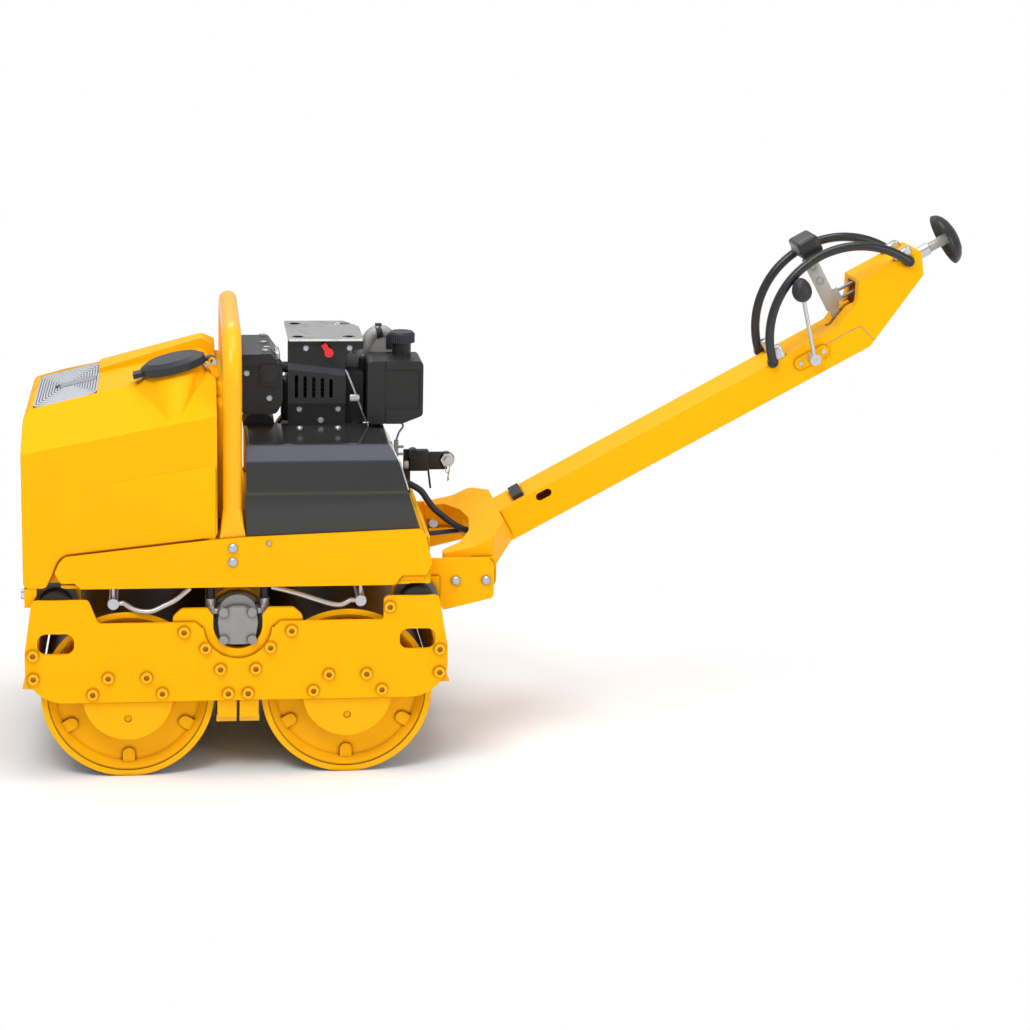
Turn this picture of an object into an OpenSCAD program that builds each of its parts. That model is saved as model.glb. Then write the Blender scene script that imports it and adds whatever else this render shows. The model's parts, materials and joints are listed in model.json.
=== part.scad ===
// Walk behind vibratory roller with two drums, a drawbar that folds up and a diesel engine.
// X runs from the front to the operator, Z is up, and the ground is at zero.
// Work is done from the middle between the drums, and place() moves it to the middle of the machine.

/* [Drums] */
// Diameter of each drum
drum_d = 400; // [380:5:410]
// Width of each drum
drum_w = 650; // [640:5:650]
// Distance between the two drum axles
wheelbase = 510; // [505:1:520]
// Thickness of the drum shell
shell_t = 14; // [8:1:20]
// Depth of the recess in each drum end
rim_recess = 26; // [22:1:30]
// Thickness of the drum end discs
drum_disc_t = 12; // [8:1:16]
// Radius of the fixed axle flange seen in the drum end
hub_r = 104; // [98:1:108]
// Radius of the stub axle
axle_r = 30; // [26:1:34]

/* [Side plates] */
// Width over the two side plates
track_w = 706; // [700:1:730]
// Thickness of a side plate
plate_t = 10; // [8:1:12]
// Length of a side plate
plate_len = 978; // [960:2:990]
// Height of a side plate from its lower edge to the top of its ears
plate_h = 246; // [240:1:250]
// Height of the lower edge above the ground
plate_z = 191; // [186:1:200]
// Height of the exciter above the ground
exciter_z = 370; // [368:1:376]
// Radius of the notch in each side plate
notch_r = 79; // [76:1:82]
// Width of a tie down window
window_w = 84; // [70:1:90]
// Height of a tie down window
window_h = 50; // [40:1:54]

/* [Gears] */
// Face width of the gears
gear_w = 11; // [8:1:12]

/* [Upper frame] */
// Width over the two rails
frame_w = 690; // [684:2:692]
// Thickness of the rails
rail_t = 8; // [6:1:10]
// Length of a rail
rail_len = 869; // [860:1:880]
// Height of a rail at its rear end
rail_h = 133; // [130:1:136]
// Height of the rails' lower edge above the ground
rail_z = 462; // [460:1:466]
// Thickness of the floor and deck plates
floor_t = 8; // [5:1:9]
// Height of the top of the engine deck
deck_z = 574; // [570:1:576]
// Diameter of the lifting bow's tube
bow_d = 45; // [38:1:46]
// Height of the top of the lifting bow
bow_top = 1062; // [1040:2:1080]
// Bend radius of the bow's corners
bow_bend = 110; // [80:2:150]

/* [Water tank] */
// Length of the water tank
tank_len = 444; // [430:1:446]
// Width of the water tank
tank_w = 670; // [650:2:674]
// Wall of the water tank
tank_wall = 8; // [5:1:10]
// Diameter of the filler cap
water_cap_d = 152; // [140:1:156]

/* [Engine] */
// Length of the engine's air shroud
shroud_len = 138; // [130:1:142]
// Height of the top of the engine
engine_top = 996; // [990:1:1010]
// Diameter of the fuel cap
fuel_cap_d = 64; // [56:1:68]
// Length of the engine cover
cover_len = 408; // [400:1:412]

/* [Drawbar] */
// Height of the drawbar pivot
pivot_z = 450; // [446:1:454]
// Distance between the pivot and the stop bolt in front of it
stop_gap = 72; // [70:1:76]
// Angle of the beam above the ground
beam_angle = 28.8; // [27:0.1:30]
// Width of the beam
beam_w = 130; // [120:1:134]
// Height of the beam
beam_h = 81; // [76:1:86]
// Length of the beam up to its head
beam_len = 960; // [940:5:980]
// Wall of the beam
beam_wall = 6; // [4:0.5:8]
// Largest fold of the drawbar in degrees
fold_max = 62; // [50:1:62]
// Tube diameter of the hand hoops
hoop_d = 22; // [18:1:24]
// Radius of the hand hoops
hoop_r = 216; // [212:1:220]
// Diameter of the stop button
button_d = 131; // [110:1:134]
// Travel of the stop button
button_travel = 16; // [8:1:20]

/* [Hidden] */

$fn = 48;
// Overrun of every cut
cut = 2;
// Running clearance of a shaft in its bearing
run_fit = 0.05;
// Clearance between pieces on different bodies
gap = 0.4;

// Derived places of the undercarriage
drum_r = drum_d / 2;
axle_x = wheelbase / 2;
plate_out = track_w / 2;
plate_in = plate_out - plate_t;
drum_end = drum_w / 2;
disc_out = drum_end - rim_recess;
disc_in = disc_out - drum_disc_t;
plate_top = plate_z + plate_h;

// Outline of a side plate as shares of half its length and of its height, with a corner share
plate_right_shares = [[0.9, 0, 0.35], [1, 0.22, 0.22], [1, 0.5, 0.3], [0.955, 1, 0.05],
  [0.691, 1, 0.05], [0.691, 0.768, 0.03], [0.2, 0.768, 0.05], [0.17, 0.71, 0]];
plate_left_shares = [[-0.17, 0.71, 0], [-0.2, 0.768, 0.05], [-0.655, 0.768, 0.05], [-0.7, 1, 0.05],
  [-0.963, 1, 0.05], [-1, 0.5, 0.3], [-1, 0.22, 0.22], [-0.9, 0, 0.35]];

// Bolts of the side plates as places from the middle and the ground
bolt_head_r = 12.5;
bolt_head_h = 9;
bolt_r = 6;
bolt_hex_r = 7;
bolt_hex_depth = 5;
hub_bolt_in = 44;
hub_bolt_up = 51;
hub_bolt_out = 80;
hub_bolt_low = 12;
end_bolt_x = 470;
end_bolt_z = [308, 252];
housing_bolts = [[23, 209], [41, 268]];
flange_bolts = [[124, 359], [75, 319]];
ear_bolt = [352, 413];
far_notch_r = 50;
window_x = 418;
window_z = 333;
window_corner = 20;

// Gear train on the far side, with the idlers on the sides of a triangle
gear_m = 4;
ring_teeth = 95;
idler_teeth = 21;
pinion_teeth = 18;
gear_off = 3;
gear_out = plate_in - gear_off;
gear_in = gear_out - gear_w;
ring_r = ring_teeth * gear_m / 2;
idler_r = idler_teeth * gear_m / 2;
pinion_r = pinion_teeth * gear_m / 2;
drum_z = drum_r;
span_len = norm([axle_x, exciter_z - drum_z]);
pinion_idler = pinion_r + idler_r;
idler_ring = idler_r + ring_r;
span_angle = atan2(drum_z - exciter_z, axle_x);
idler_turn = acos((pinion_idler ^ 2 + span_len ^ 2 - idler_ring ^ 2) / (2 * pinion_idler * span_len));
idler_x = pinion_idler * cos(span_angle + idler_turn);
idler_z = exciter_z + pinion_idler * sin(span_angle + idler_turn);
ring_rim = 14;
spindle_r = 10;
spindle_rim = 4;

// Exciter housing and motors
tube_r = 74;
tube_wall = 9;
tube_end = 275;
web_half = 48;
web_slit = 7;
web_low = 146;
web_wall = 8;
bar_low = 130;
flange_t = 14;
mouth_r = 57;
bearing_r = 42;
bearing_w = 26;
bearing_y = 205;
exciter_r = 17.5;
weight_r = 52;
weight_y = [30, 180];
motor_half = 46;
motor_face = 347;
motor_bolt = 33;
motor_shaft_r = 11;
fitting_x = 62;
fitting_z = 392;
fitting_y = 300;
hose_r = 10;

// Upper frame
rail_out = frame_w / 2;
rail_in = rail_out - rail_t;
rail_x0 = -418;
rail_shares = [[0.0679, 0, 0.02], [0.9, 0, 0.02], [0.919, 0.17, 0.02], [0.985, 0.17, 0.06],
  [1, 0.38, 0.08], [0.982, 0.89, 0.06], [0.966, 1, 0.06], [0.5, 0.888, 0], [0.41, 0.842, 0],
  [0.0276, 0.572, 0.05], [0.0115, 0.47, 0.05], [0, 0.29, 0.06], [0.0161, 0.105, 0.05],
  [0.0518, 0.105, 0.02]];
buffer_x = 418;
buffer_z = 414;
buffer_r = 40;
buffer_ring_r = 52;
buffer_y0 = 287;
ring_t = 8;
cap_t = 4;
bracket_t = 12;
wall_x = 437;
wall_t = 8;
wall_top = 575;
bow_x = -11;
bow_r = bow_d / 2;
bow_y = 313;
bow_foot_t = 12;
bow_foot_w = 61;
bow_foot_z = [476, 572];
bow_tube_z = 640;

// Water tank
tank_x0 = -490;
tank_low = rail_z;
tank_slope = 13.6;
crease_front = 777;
crease_slope = 11.1;
shoulder_slope = 27.9;
tank_shares = [[0, 0, 0.03], [0.115, 0, 0.03], [0.194, 0.166, 0.08], [1, 0.25, 0.03], [1, 0.985, 0.02],
  [0.93, 1.036, 0.04], [0, 0.8215, 0.05]];
tank_h = 470;
neck_x = -140;
neck_y = -176;
neck_r = 62;
neck_in_r = 48;
lid_in_r = 66;

// Engine
shroud_x = 125;
shroud_y0 = -90;
crank_x = 194;
crank_z = 690;
crank_r = 16;
cover_x = 20;
cover_y0 = -335;
cover_y1 = -60;
cover_top = 785;
cover_wall = 4;

// Drawbar, in a frame along the beam with u up the beam and w square to it
pivot_x = 586;
cheek_y = [263, 275];
stop_r = 7;
beam_start = 661;
beam_z = 527;
button_u = 1293;
button_w = 90;
button_cap_t = 40;
reach_x = beam_start + button_u * cos(beam_angle) - (button_w - button_d / 2) * sin(beam_angle);
front_bolt_x = -496;
mid_x = -(reach_x + front_bolt_x) / 2;

// Rounded outlines: each point is a place and a corner radius
function unit(v) = v / norm(v);
function arc_points(a, b, c, r, n) =
  let (u = unit(a - b), v = unit(c - b), half = acos(u * v) / 2, m = b + unit(u + v) * r / sin(half),
    s = b + u * r / tan(half) - m, e = b + v * r / tan(half) - m, a0 = atan2(s[1], s[0]),
    turn = (atan2(e[1], e[0]) - a0 + 540) % 360 - 180)
  [for (i = [0 : n]) m + r * [cos(a0 + turn * i / n), sin(a0 + turn * i / n)]];
function spot(p) = [p[0], p[1]];
function rounded(p, n = 5) = let (k = len(p)) [for (i = [0 : k - 1]) each
  (p[i][2] > 0 ? arc_points(spot(p[(i + k - 1) % k]), spot(p[i]), spot(p[(i + 1) % k]), p[i][2], n)
    : [spot(p[i])])];
function from_shares(shares, w, h, x = 0, z = 0) =
  rounded([for (s = shares) [x + s[0] * w, z + s[1] * h, s[2] * h]]);
function pad(w, h, r) = rounded([[-w / 2, -h / 2, r], [w / 2, -h / 2, r], [w / 2, h / 2, r],
  [-w / 2, h / 2, r]]);

module place() translate([mid_x, 0, 0]) children();
module both_sides() for (s = [0, 1]) mirror([0, s, 0]) children();
module both_ends() for (s = [0, 1]) mirror([s, 0, 0]) children();
module along_y(y0, y1) translate([0, y1, 0]) rotate([90, 0, 0]) linear_extrude(height = y1 - y0) children();
module along_x(x0, x1) translate([x0, 0, 0]) rotate([90, 0, 90]) linear_extrude(height = x1 - x0)
  children();
module y_rod(r, y0, y1, x = 0, z = 0) translate([x, y1, z]) rotate([90, 0, 0]) cylinder(r = r, h = y1 - y0);
module y_cone(r0, r1, y0, y1, x = 0, z = 0)
  translate([x, y0, z]) rotate([-90, 0, 0]) cylinder(r1 = r0, r2 = r1, h = y1 - y0);
module x_rod(r, x0, x1, y = 0, z = 0) translate([x0, y, z]) rotate([0, 90, 0]) cylinder(r = r, h = x1 - x0);
module y_ring(r1, r0, y0, y1, x = 0, z = 0) difference() {
  y_rod(r1, y0, y1, x, z);
  y_rod(r0, y0 - cut, y1 + cut, x, z);
}
module block(x, y, z) translate([x[0], y[0], z[0]]) cube([x[1] - x[0], y[1] - y[0], z[1] - z[0]]);
module on_beam() translate([beam_start, 0, beam_z]) rotate([0, -beam_angle, 0]) children();

// Hoses and pipes are swept along smooth curves through hand placed points
function spline_point(a, b, c, d, t) = 0.5 * ((2 * b) + (c - a) * t + (2 * a - 5 * b + 4 * c - d) * t ^ 2
  + (3 * b - a - 3 * c + d) * t ^ 3);
function smooth_path(p, n) = let (k = len(p)) concat([for (i = [0 : k - 2]) for (j = [0 : n - 1])
  spline_point(p[max(i - 1, 0)], p[i], p[i + 1], p[min(i + 2, k - 1)], j / n)], [p[k - 1]]);
function tangents(q) = let (k = len(q)) [for (i = [0 : k - 1])
  unit(q[min(i + 1, k - 1)] - q[max(i - 1, 0)])];
function square_to(t, v) = unit(v - t * (t * v));
function frames(t, i, v) = i >= len(t) ? [] : let (s = square_to(t[i], v)) concat([s], frames(t, i + 1, s));
module hose(p, r, sides = 8, n = 4) {
  q = smooth_path(p, n);
  t = tangents(q);
  f = frames(t, 0, abs(t[0] * [0, 1, 0]) > 0.9 ? [1, 0, 0] : [0, 1, 0]);
  k = len(q);
  points = [for (i = [0 : k - 1]) for (j = [0 : sides - 1])
    let (a = 360 * j / sides) q[i] + r * (cos(a) * f[i] + sin(a) * cross(t[i], f[i]))];
  side_faces = [for (i = [0 : k - 2]) for (j = [0 : sides - 1]) let (a = i * sides + j,
    b = i * sides + (j + 1) % sides) each [[a, b, b + sides], [a, b + sides, a + sides]]];
  ends = [[for (j = [0 : sides - 1]) sides - 1 - j], [for (j = [0 : sides - 1]) (k - 1) * sides + j]];
  polyhedron(points, [for (s = concat(side_faces, ends)) [for (i = [len(s) - 1 : -1 : 0]) s[i]]]);
}

// Undercarriage
module plate_outline(notch) difference() {
  polygon(from_shares(concat(plate_right_shares, plate_left_shares), plate_len / 2, plate_h, 0, plate_z));
  translate([0, exciter_z]) circle(r = notch);
  for (s = [-1, 1]) translate([s * window_x, window_z]) polygon(pad(window_w, window_h, window_corner));
}
function plate_bolts(far) = concat([for (s = [-1, 1]) for (z = end_bolt_z) [s * end_bolt_x, z]],
  [for (s = [-1, 1]) for (b = housing_bolts) [s * b[0], b[1]]],
  far ? [for (s = [-1, 1]) [s * idler_x, idler_z]] : [for (s = [-1, 1]) for (b = flange_bolts)
    [s * b[0], b[1]]],
  [for (s = [-1, 1]) for (t = [-1, 1]) [s * axle_x + t * hub_bolt_in, drum_z + hub_bolt_up]],
  [for (s = [-1, 1]) for (t = [-1, 1]) [s * axle_x + t * hub_bolt_out, drum_z + hub_bolt_low]], [ear_bolt]);
module side_plate(far) difference() {
  along_y(-plate_out, -plate_in) plate_outline(far ? far_notch_r : notch_r);
  for (b = plate_bolts(far)) y_rod(bolt_r, -plate_out - cut, -plate_in + cut, b[0], b[1]);
}
module side_plate_left() color("gold") place() side_plate(false);
module side_plate_right() color("gold") place() mirror([0, 1, 0]) side_plate(true);

module socket_bolt(b) difference() {
  union() {
    y_rod(bolt_head_r, -plate_out - bolt_head_h, -plate_out, b[0], b[1]);
    y_rod(bolt_r - run_fit, -plate_out - cut, -plate_in + cut, b[0], b[1]);
  }
  translate([b[0], -plate_out - bolt_head_h + bolt_hex_depth, b[1]]) rotate([90, 0, 0])
    cylinder(r = bolt_hex_r, h = bolt_hex_depth + cut, $fn = 6);
}
module side_plate_bolts() color("goldenrod") place() {
  for (b = plate_bolts(false)) socket_bolt(b);
  mirror([0, 1, 0]) {
    for (b = plate_bolts(true)) socket_bolt(b);
    for (s = [-1, 1]) {
      y_rod(spindle_r - run_fit, -plate_in, -gear_in + gap, s * idler_x, idler_z);
      y_rod(spindle_r + spindle_rim, -gear_in + gap, -gear_in + gap + spindle_rim, s * idler_x, idler_z);
    }
  }
}

// Cross beams at both ends, each with a scraper lip close to its drum
scraper_x = [458, 484];
scraper_z = [224, 326];
scraper_tip = 496;
scraper_gap = 3;
module end_scraper() along_y(-plate_in, plate_in)
  polygon([[scraper_x[0], scraper_z[1]], [scraper_x[0], scraper_z[0] + plate_t],
    [axle_x + drum_r + scraper_gap, scraper_z[0]], [scraper_tip, scraper_z[0]],
    [scraper_x[1], scraper_z[0] + 2 * plate_t], [scraper_x[1], scraper_z[1]]]);
module end_scrapers() color("gold") place() difference() {
  both_ends() end_scraper();
  for (s = [-1, 1]) for (z = end_bolt_z) y_rod(bolt_r, -plate_out, -plate_in + cut, s * end_bolt_x, z);
  for (s = [-1, 1]) for (z = end_bolt_z) y_rod(bolt_r, plate_in - cut, plate_out, s * end_bolt_x, z);
}

// Housing between the drums: two hollow webs below a tube that holds the exciter
carrier_shares = [[0.3, 0, 0.1], [0.44, 0.22, 0.1], [0.7, 0.45, 0.1], [1, 0.68, 0.1], [1, 0.88, 0.1],
  [0.86, 1, 0.12], [0.47, 1, 0.05], [0.3, 0.8, 0.05], [0, 0.75, 0], [0, 0, 0]];
carrier_w = 150;
carrier_h = 160;
carrier_low = 250;
web_top = 330;
far_web_top = 262;
trough_cut = 8;
module carrier_half() polygon(from_shares(carrier_shares, carrier_w, carrier_h, 0, carrier_low));
module housing_webs() difference() {
  both_ends() block([web_slit / 2, web_half], [-drum_end, drum_end], [web_low, web_top]);
  both_ends() block([web_slit / 2 + web_wall, web_half - web_wall],
    [-drum_end + 3 * web_wall, drum_end - 3 * web_wall], [web_low - cut, exciter_z - tube_r - web_wall]);
}
module web_ends() both_sides() both_ends() difference() {
  union() {
    block([web_slit / 2, web_half], [-plate_in, -drum_end], [web_low, far_web_top]);
    y_rod(2 * bolt_r, -plate_in, -drum_end, housing_bolts[1][0], housing_bolts[1][1]);
  }
  for (b = housing_bolts) y_rod(bolt_r, -plate_out, -plate_in + cut, b[0], b[1]);
}
module exciter_tube() difference() {
  y_rod(tube_r, -plate_in + flange_t, drum_end - cut, 0, exciter_z);
  y_rod(tube_r - tube_wall, -plate_out, -tube_end + 2 * tube_wall, 0, exciter_z);
  y_rod(tube_r - tube_wall, tube_end - 2 * tube_wall, plate_out, 0, exciter_z);
  y_rod(tube_r - tube_wall, -bearing_y, bearing_y, 0, exciter_z);
  y_rod(bearing_r, -bearing_y - bearing_w, bearing_y + bearing_w, 0, exciter_z);
  y_rod(exciter_r + gap, -tube_end, tube_end, 0, exciter_z);
  both_sides() block([-tube_r - cut, tube_r + cut], [-plate_out, -tube_end],
    [exciter_z - trough_cut, exciter_z + tube_r + cut]);
}
module near_carrier() difference() {
  along_y(-plate_in, -plate_in + flange_t) union() {
    carrier_half();
    mirror([1, 0]) carrier_half();
  }
  y_rod(mouth_r, -plate_out, -tube_end, 0, exciter_z);
  block([-mouth_r, mouth_r], [-plate_out, -tube_end], [exciter_z, exciter_z + tube_r]);
  for (s = [-1, 1]) for (b = concat(flange_bolts, housing_bolts))
    y_rod(bolt_r, -plate_out, -plate_in + cut, s * b[0], b[1]);
}
module centre_housing() color("goldenrod") place() union() {
  difference() {
    housing_webs();
    y_rod(tube_r - cut, -plate_out, plate_out, 0, exciter_z);
    block([-carrier_w, carrier_w], [drum_end - 3 * cut, plate_out], [far_web_top, exciter_z]);
  }
  web_ends();
  exciter_tube();
  near_carrier();
}
module drum_scraper_bars() color("khaki") place() both_ends()
  block([web_slit / 2, web_half + cut], [-drum_end, drum_end], [bar_low, web_low]);

// Fixed axle hubs, bolted to the side plates, and the bearings on them
hub_face_t = 16;
hub_boss_r = 62;
hub_mark_r = 9;
hub_mark_depth = 3;
bearing_out_r = 46;
drum_bearing_w = 24;
axle_end = disc_in - 2 * drum_bearing_w;
module axle_hub() difference() {
  union() {
    y_rod(hub_r, -plate_in, -plate_in + hub_face_t);
    y_rod(hub_boss_r, -plate_in, -disc_out - gap);
    y_rod(axle_r, -plate_in, -axle_end);
  }
  for (t = [-1, 1]) y_rod(bolt_r, -plate_out, -plate_in + cut, t * hub_bolt_in, hub_bolt_up);
  for (t = [-1, 1]) y_rod(bolt_r, -plate_out, -plate_in + cut, t * hub_bolt_out, hub_bolt_low);
  y_rod(hub_mark_r, -plate_out, -plate_in + hub_mark_depth, 0, -hub_boss_r + hub_mark_r);
}
module at_axles() for (s = [-1, 1]) translate([s * axle_x, 0, drum_z]) children();
module axle_hubs() color("gold") place() at_axles() both_sides() axle_hub();

// Drum: shell, end discs with lugs, and the ring gear on the far side
disc_bore = bearing_out_r + run_fit;
lug_count = 6;
disc_lug_r = 14;
rim_foot_r = 167;
rim_top = 4;
lug_place_r = 152;
lug_h = 7;
seat_r = 58;
seat_w = 40;
module drum_shell() difference() {
  y_rod(drum_r, -drum_end, drum_end, 0, 0, $fn = 96);
  y_rod(drum_r - shell_t, -drum_end - cut, drum_end + cut, 0, 0, $fn = 96);
}
module drum_disc(lugs) difference() {
  union() {
    y_rod(drum_r - shell_t, -disc_out, -disc_in, 0, 0);
    if (lugs) difference() {
      y_rod(drum_r - shell_t, rim_top - drum_end, -disc_out);
      y_cone(drum_r - shell_t - cut, rim_foot_r, -drum_end, -disc_out);
    }
    y_rod(seat_r, -disc_out, -disc_in + seat_w);
    if (lugs) intersection() {
      y_rod(drum_r - shell_t, -disc_out - lug_h, -disc_in);
      for (i = [0 : lug_count - 1]) rotate([0, (i + 1 / 2) * 360 / lug_count, 0]) union() {
        y_rod(disc_lug_r, -disc_out - lug_h, -disc_in, lug_place_r, 0);
        block([lug_place_r, drum_r], [-disc_out - lug_h, -disc_in], [-disc_lug_r, disc_lug_r]);
      }
    }
  }
  y_rod(disc_bore, -drum_end, -disc_in + seat_w + cut);
  y_rod(hub_boss_r + gap, -drum_end, -disc_out);
}
module gear_body(teeth, r, phase) rotate([0, phase, 0]) along_y(gear_in, gear_out) gear_outline(teeth, r);
// Teeth are straight sided and a little slim, so that meshed pairs run free
tooth_add_share = 0.8;
tooth_ded_share = 1.15;
root_share = 0.36;
tip_share = 0.13;
module gear_outline(teeth, r) {
  pitch = 360 / teeth;
  polygon([for (i = [0 : teeth - 1]) for (k = [[-root_share, -tooth_ded_share],
    [-tip_share, tooth_add_share],
    [tip_share, tooth_add_share], [root_share, -tooth_ded_share]])
    let (a = (i + k[0]) * pitch, q = r + k[1] * gear_m) [q * cos(a), q * sin(a)]]);
}
module ring_gear(phase) difference() {
  union() {
    gear_body(ring_teeth, ring_r, phase);
    y_rod(ring_r - 2 * gear_m, disc_out, gear_out);
  }
  y_rod(ring_r - 2 * gear_m - ring_rim, disc_out - cut, plate_out);
}
// A tooth angle is measured from the operator end towards the top
idler_dir = atan2(idler_z - exciter_z, idler_x);
ring_dir = atan2(drum_z - idler_z, axle_x - idler_x);
function frac(v) = v - floor(v);
// Angle of a tooth centre of the next gear, for contact seen from it along back
function next_angle(dir, here_teeth, here_angle, next_teeth) =
  let (f = frac((dir - here_angle) * here_teeth / 360)) dir + 180 + (f - 0.5) * 360 / next_teeth;
pinion_angle = 90;
idler_angle_rear = next_angle(idler_dir, pinion_teeth, pinion_angle, idler_teeth);
ring_angle_rear = next_angle(ring_dir, idler_teeth, idler_angle_rear, ring_teeth);
module at_front() translate([-axle_x, 0, drum_z]) children();
module at_rear() translate([axle_x, 0, drum_z]) children();
module front_drum_shell() color("dimgray") place() at_front() drum_shell();
module rear_drum_shell() color("dimgray") place() at_rear() drum_shell();
module drum_discs() {
  drum_disc(true);
  mirror([0, 1, 0]) drum_disc(false);
}
module front_drum_discs() color("gold") place() at_front() drum_discs();
module rear_drum_discs() color("gold") place() at_rear() drum_discs();
module rear_ring_gear() color("slategray") place() at_rear() ring_gear(-ring_angle_rear);
module front_ring_gear() color("slategray") place() mirror([1, 0, 0]) at_rear() ring_gear(-ring_angle_rear);
module idler() difference() {
  translate([idler_x, 0, idler_z]) gear_body(idler_teeth, idler_r, -idler_angle_rear);
  y_rod(spindle_r, gear_in - cut, gear_out + cut, idler_x, idler_z);
}
module rear_idler_gear() color("slategray") place() idler();
module front_idler_gear() color("slategray") place() mirror([1, 0, 0]) idler();
module drive_pinion() color("slategray") place() translate([0, 0, exciter_z]) union() {
  gear_body(pinion_teeth, pinion_r, -pinion_angle);
  y_rod(motor_shaft_r, travel_y0 + cut, gear_in + cut);
}

// Exciter shaft with two half round weights, and its bearings
module exciter_shaft() color("silver") place() translate([0, 0, exciter_z]) {
  y_rod(exciter_r, -tube_end - bearing_w + cut, bearing_y + bearing_w);
  both_sides() difference() {
    y_rod(weight_r, weight_y[0], weight_y[1]);
    block([-weight_r, weight_r], [0, weight_y[1] + cut], [-exciter_r / 2, weight_r + cut]);
  }
}
module bearings() color("silver") place() {
  both_sides() y_ring(bearing_r, exciter_r + run_fit, bearing_y, bearing_y + bearing_w, 0, exciter_z);
  at_axles() both_sides() y_ring(bearing_out_r, axle_r, -disc_in + cut, -disc_in + cut + drum_bearing_w);
}

// Gear type hydraulic motors in the two notches
port_r = 15;
motor_top_shares = [[-0.9, -0.55, 0.05], [-0.72, -0.95, 0.08], [-0.25, -0.98, 0.05], [0.25, -0.98, 0.05],
  [0.72, -0.95, 0.08], [0.9, -0.55, 0.05], [1, 0.15, 0.08], [0.94, 0.62, 0.1], [0.3, 0.95, 0.04],
  [-0.3, 0.95, 0.04], [-0.94, 0.62, 0.1], [-1, 0.15, 0.08]];
module motor_form(y0, y1) along_y(y0, y1) polygon(from_shares(motor_top_shares, motor_half, motor_half,
  0, exciter_z));
plate_gap_t = 3;
motor_cap_t = 20;
motor_hump = 26;
module exciter_motor() color("darkgray") place() difference() {
  union() {
    motor_form(-motor_face, -motor_face + motor_cap_t);
    y_rod(motor_half - plate_gap_t, -motor_face + plate_gap_t, -tube_end, 0, exciter_z);
    motor_form(-motor_face + motor_cap_t + plate_gap_t, -tube_end - bearing_w);
    y_rod(motor_half - plate_gap_t, -motor_face + motor_cap_t, -tube_end - bearing_w, 0, exciter_z
      + motor_hump);
    y_rod(tube_r - tube_wall - gap, -tube_end - bearing_w / 2, -tube_end, 0, exciter_z);
    x_rod(port_r, -fitting_x + port_r, fitting_x - port_r, -fitting_y, fitting_z);
    for (s = [-1, 1]) for (t = [-1, 1])
      y_rod(motor_bolt_r, -motor_face - motor_bolt_h, -motor_face, s * motor_bolt,
        exciter_z + t * motor_bolt);
  }
  y_rod(exciter_r + run_fit, -tube_end - bearing_w, -tube_end + cut, 0, exciter_z);
}
motor_bolt_r = 10.5;
motor_bolt_h = 7;
travel_y0 = 285;
travel_y1 = 322;
module travel_motor() color("darkgray") place() difference() {
  union() {
    motor_form(travel_y0 - plate_gap_t, travel_y1);
    y_rod(tube_r - tube_wall - gap, tube_end, travel_y0, 0, exciter_z);
    x_rod(port_r, -fitting_x + port_r, fitting_x - port_r, fitting_y, fitting_z);
  }
  y_rod(motor_shaft_r + run_fit, travel_y0, travel_y1 + cut, 0, exciter_z);
}
nut_r = 13.5;
nut_h = 16;
hose_fit = 1.5;
module elbow_fitting(y) {
  translate([fitting_x, y, fitting_z - port_r]) cylinder(r = hose_r + hose_fit, h = port_r + nut_h);
  translate([fitting_x, y, fitting_z]) cylinder(r = nut_r, h = nut_h, $fn = 6);
  x_rod(hose_r, fitting_x - port_r, fitting_x, y, fitting_z);
}
module motor_fittings() color("silver") place() difference() {
  both_ends() both_sides() elbow_fitting(-fitting_y);
  block([-fitting_x + port_r, fitting_x - port_r], [-plate_out, plate_out], [0, bow_top]);
}
near_hose_points = [[-62, -300, 408], [-62, -300, 424], [-62, -300, 440], [-58, -298, 476],
  [-30, -290, 506],
  [10, -278, 530], [36, -270, 560], [44, -262, 600], [54, -254, 650], [80, -250, 690], [110, -250, 700],
  [122, -250, 700], [134, -250, 700]];
near_return_points = [[62, -300, 408], [62, -300, 424], [62, -300, 440], [62, -298, 480], [66, -288, 530],
  [72, -270, 580], [80, -256, 630], [96, -250, 658], [110, -250, 664], [122, -250, 664], [134, -250, 664]];
far_hose_points = [[-62, 300, 408], [-62, 300, 424], [-62, 300, 440], [-58, 298, 480], [-30, 286, 508],
  [10, 264, 522], [40, 248, 524], [50, 230, 524], [50, 215, 524], [50, 200, 524]];
far_return_points = [[62, 300, 408], [62, 300, 424], [62, 300, 440], [62, 296, 480], [68, 272, 508],
  [82, 248, 518], [90, 228, 520], [90, 214, 520], [90, 200, 520]];
module motor_hoses() color("dimgray") place() {
  hose(near_hose_points, hose_r);
  hose(near_return_points, hose_r);
  hose(far_hose_points, hose_r);
  hose(far_return_points, hose_r);
}
guard_t = 4;
guard_r = 63;
module gear_cover() color("gold") place() difference() {
  y_rod(guard_r, plate_out, plate_out + guard_t, 0, exciter_z);
  for (i = [0 : 5]) translate([0, 0, exciter_z]) rotate([0, 60 * i + 30, 0])
    y_rod(bolt_r / 2, plate_out - cut, plate_out + guard_t + cut, guard_r - bolt_r, 0);
}

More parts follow.
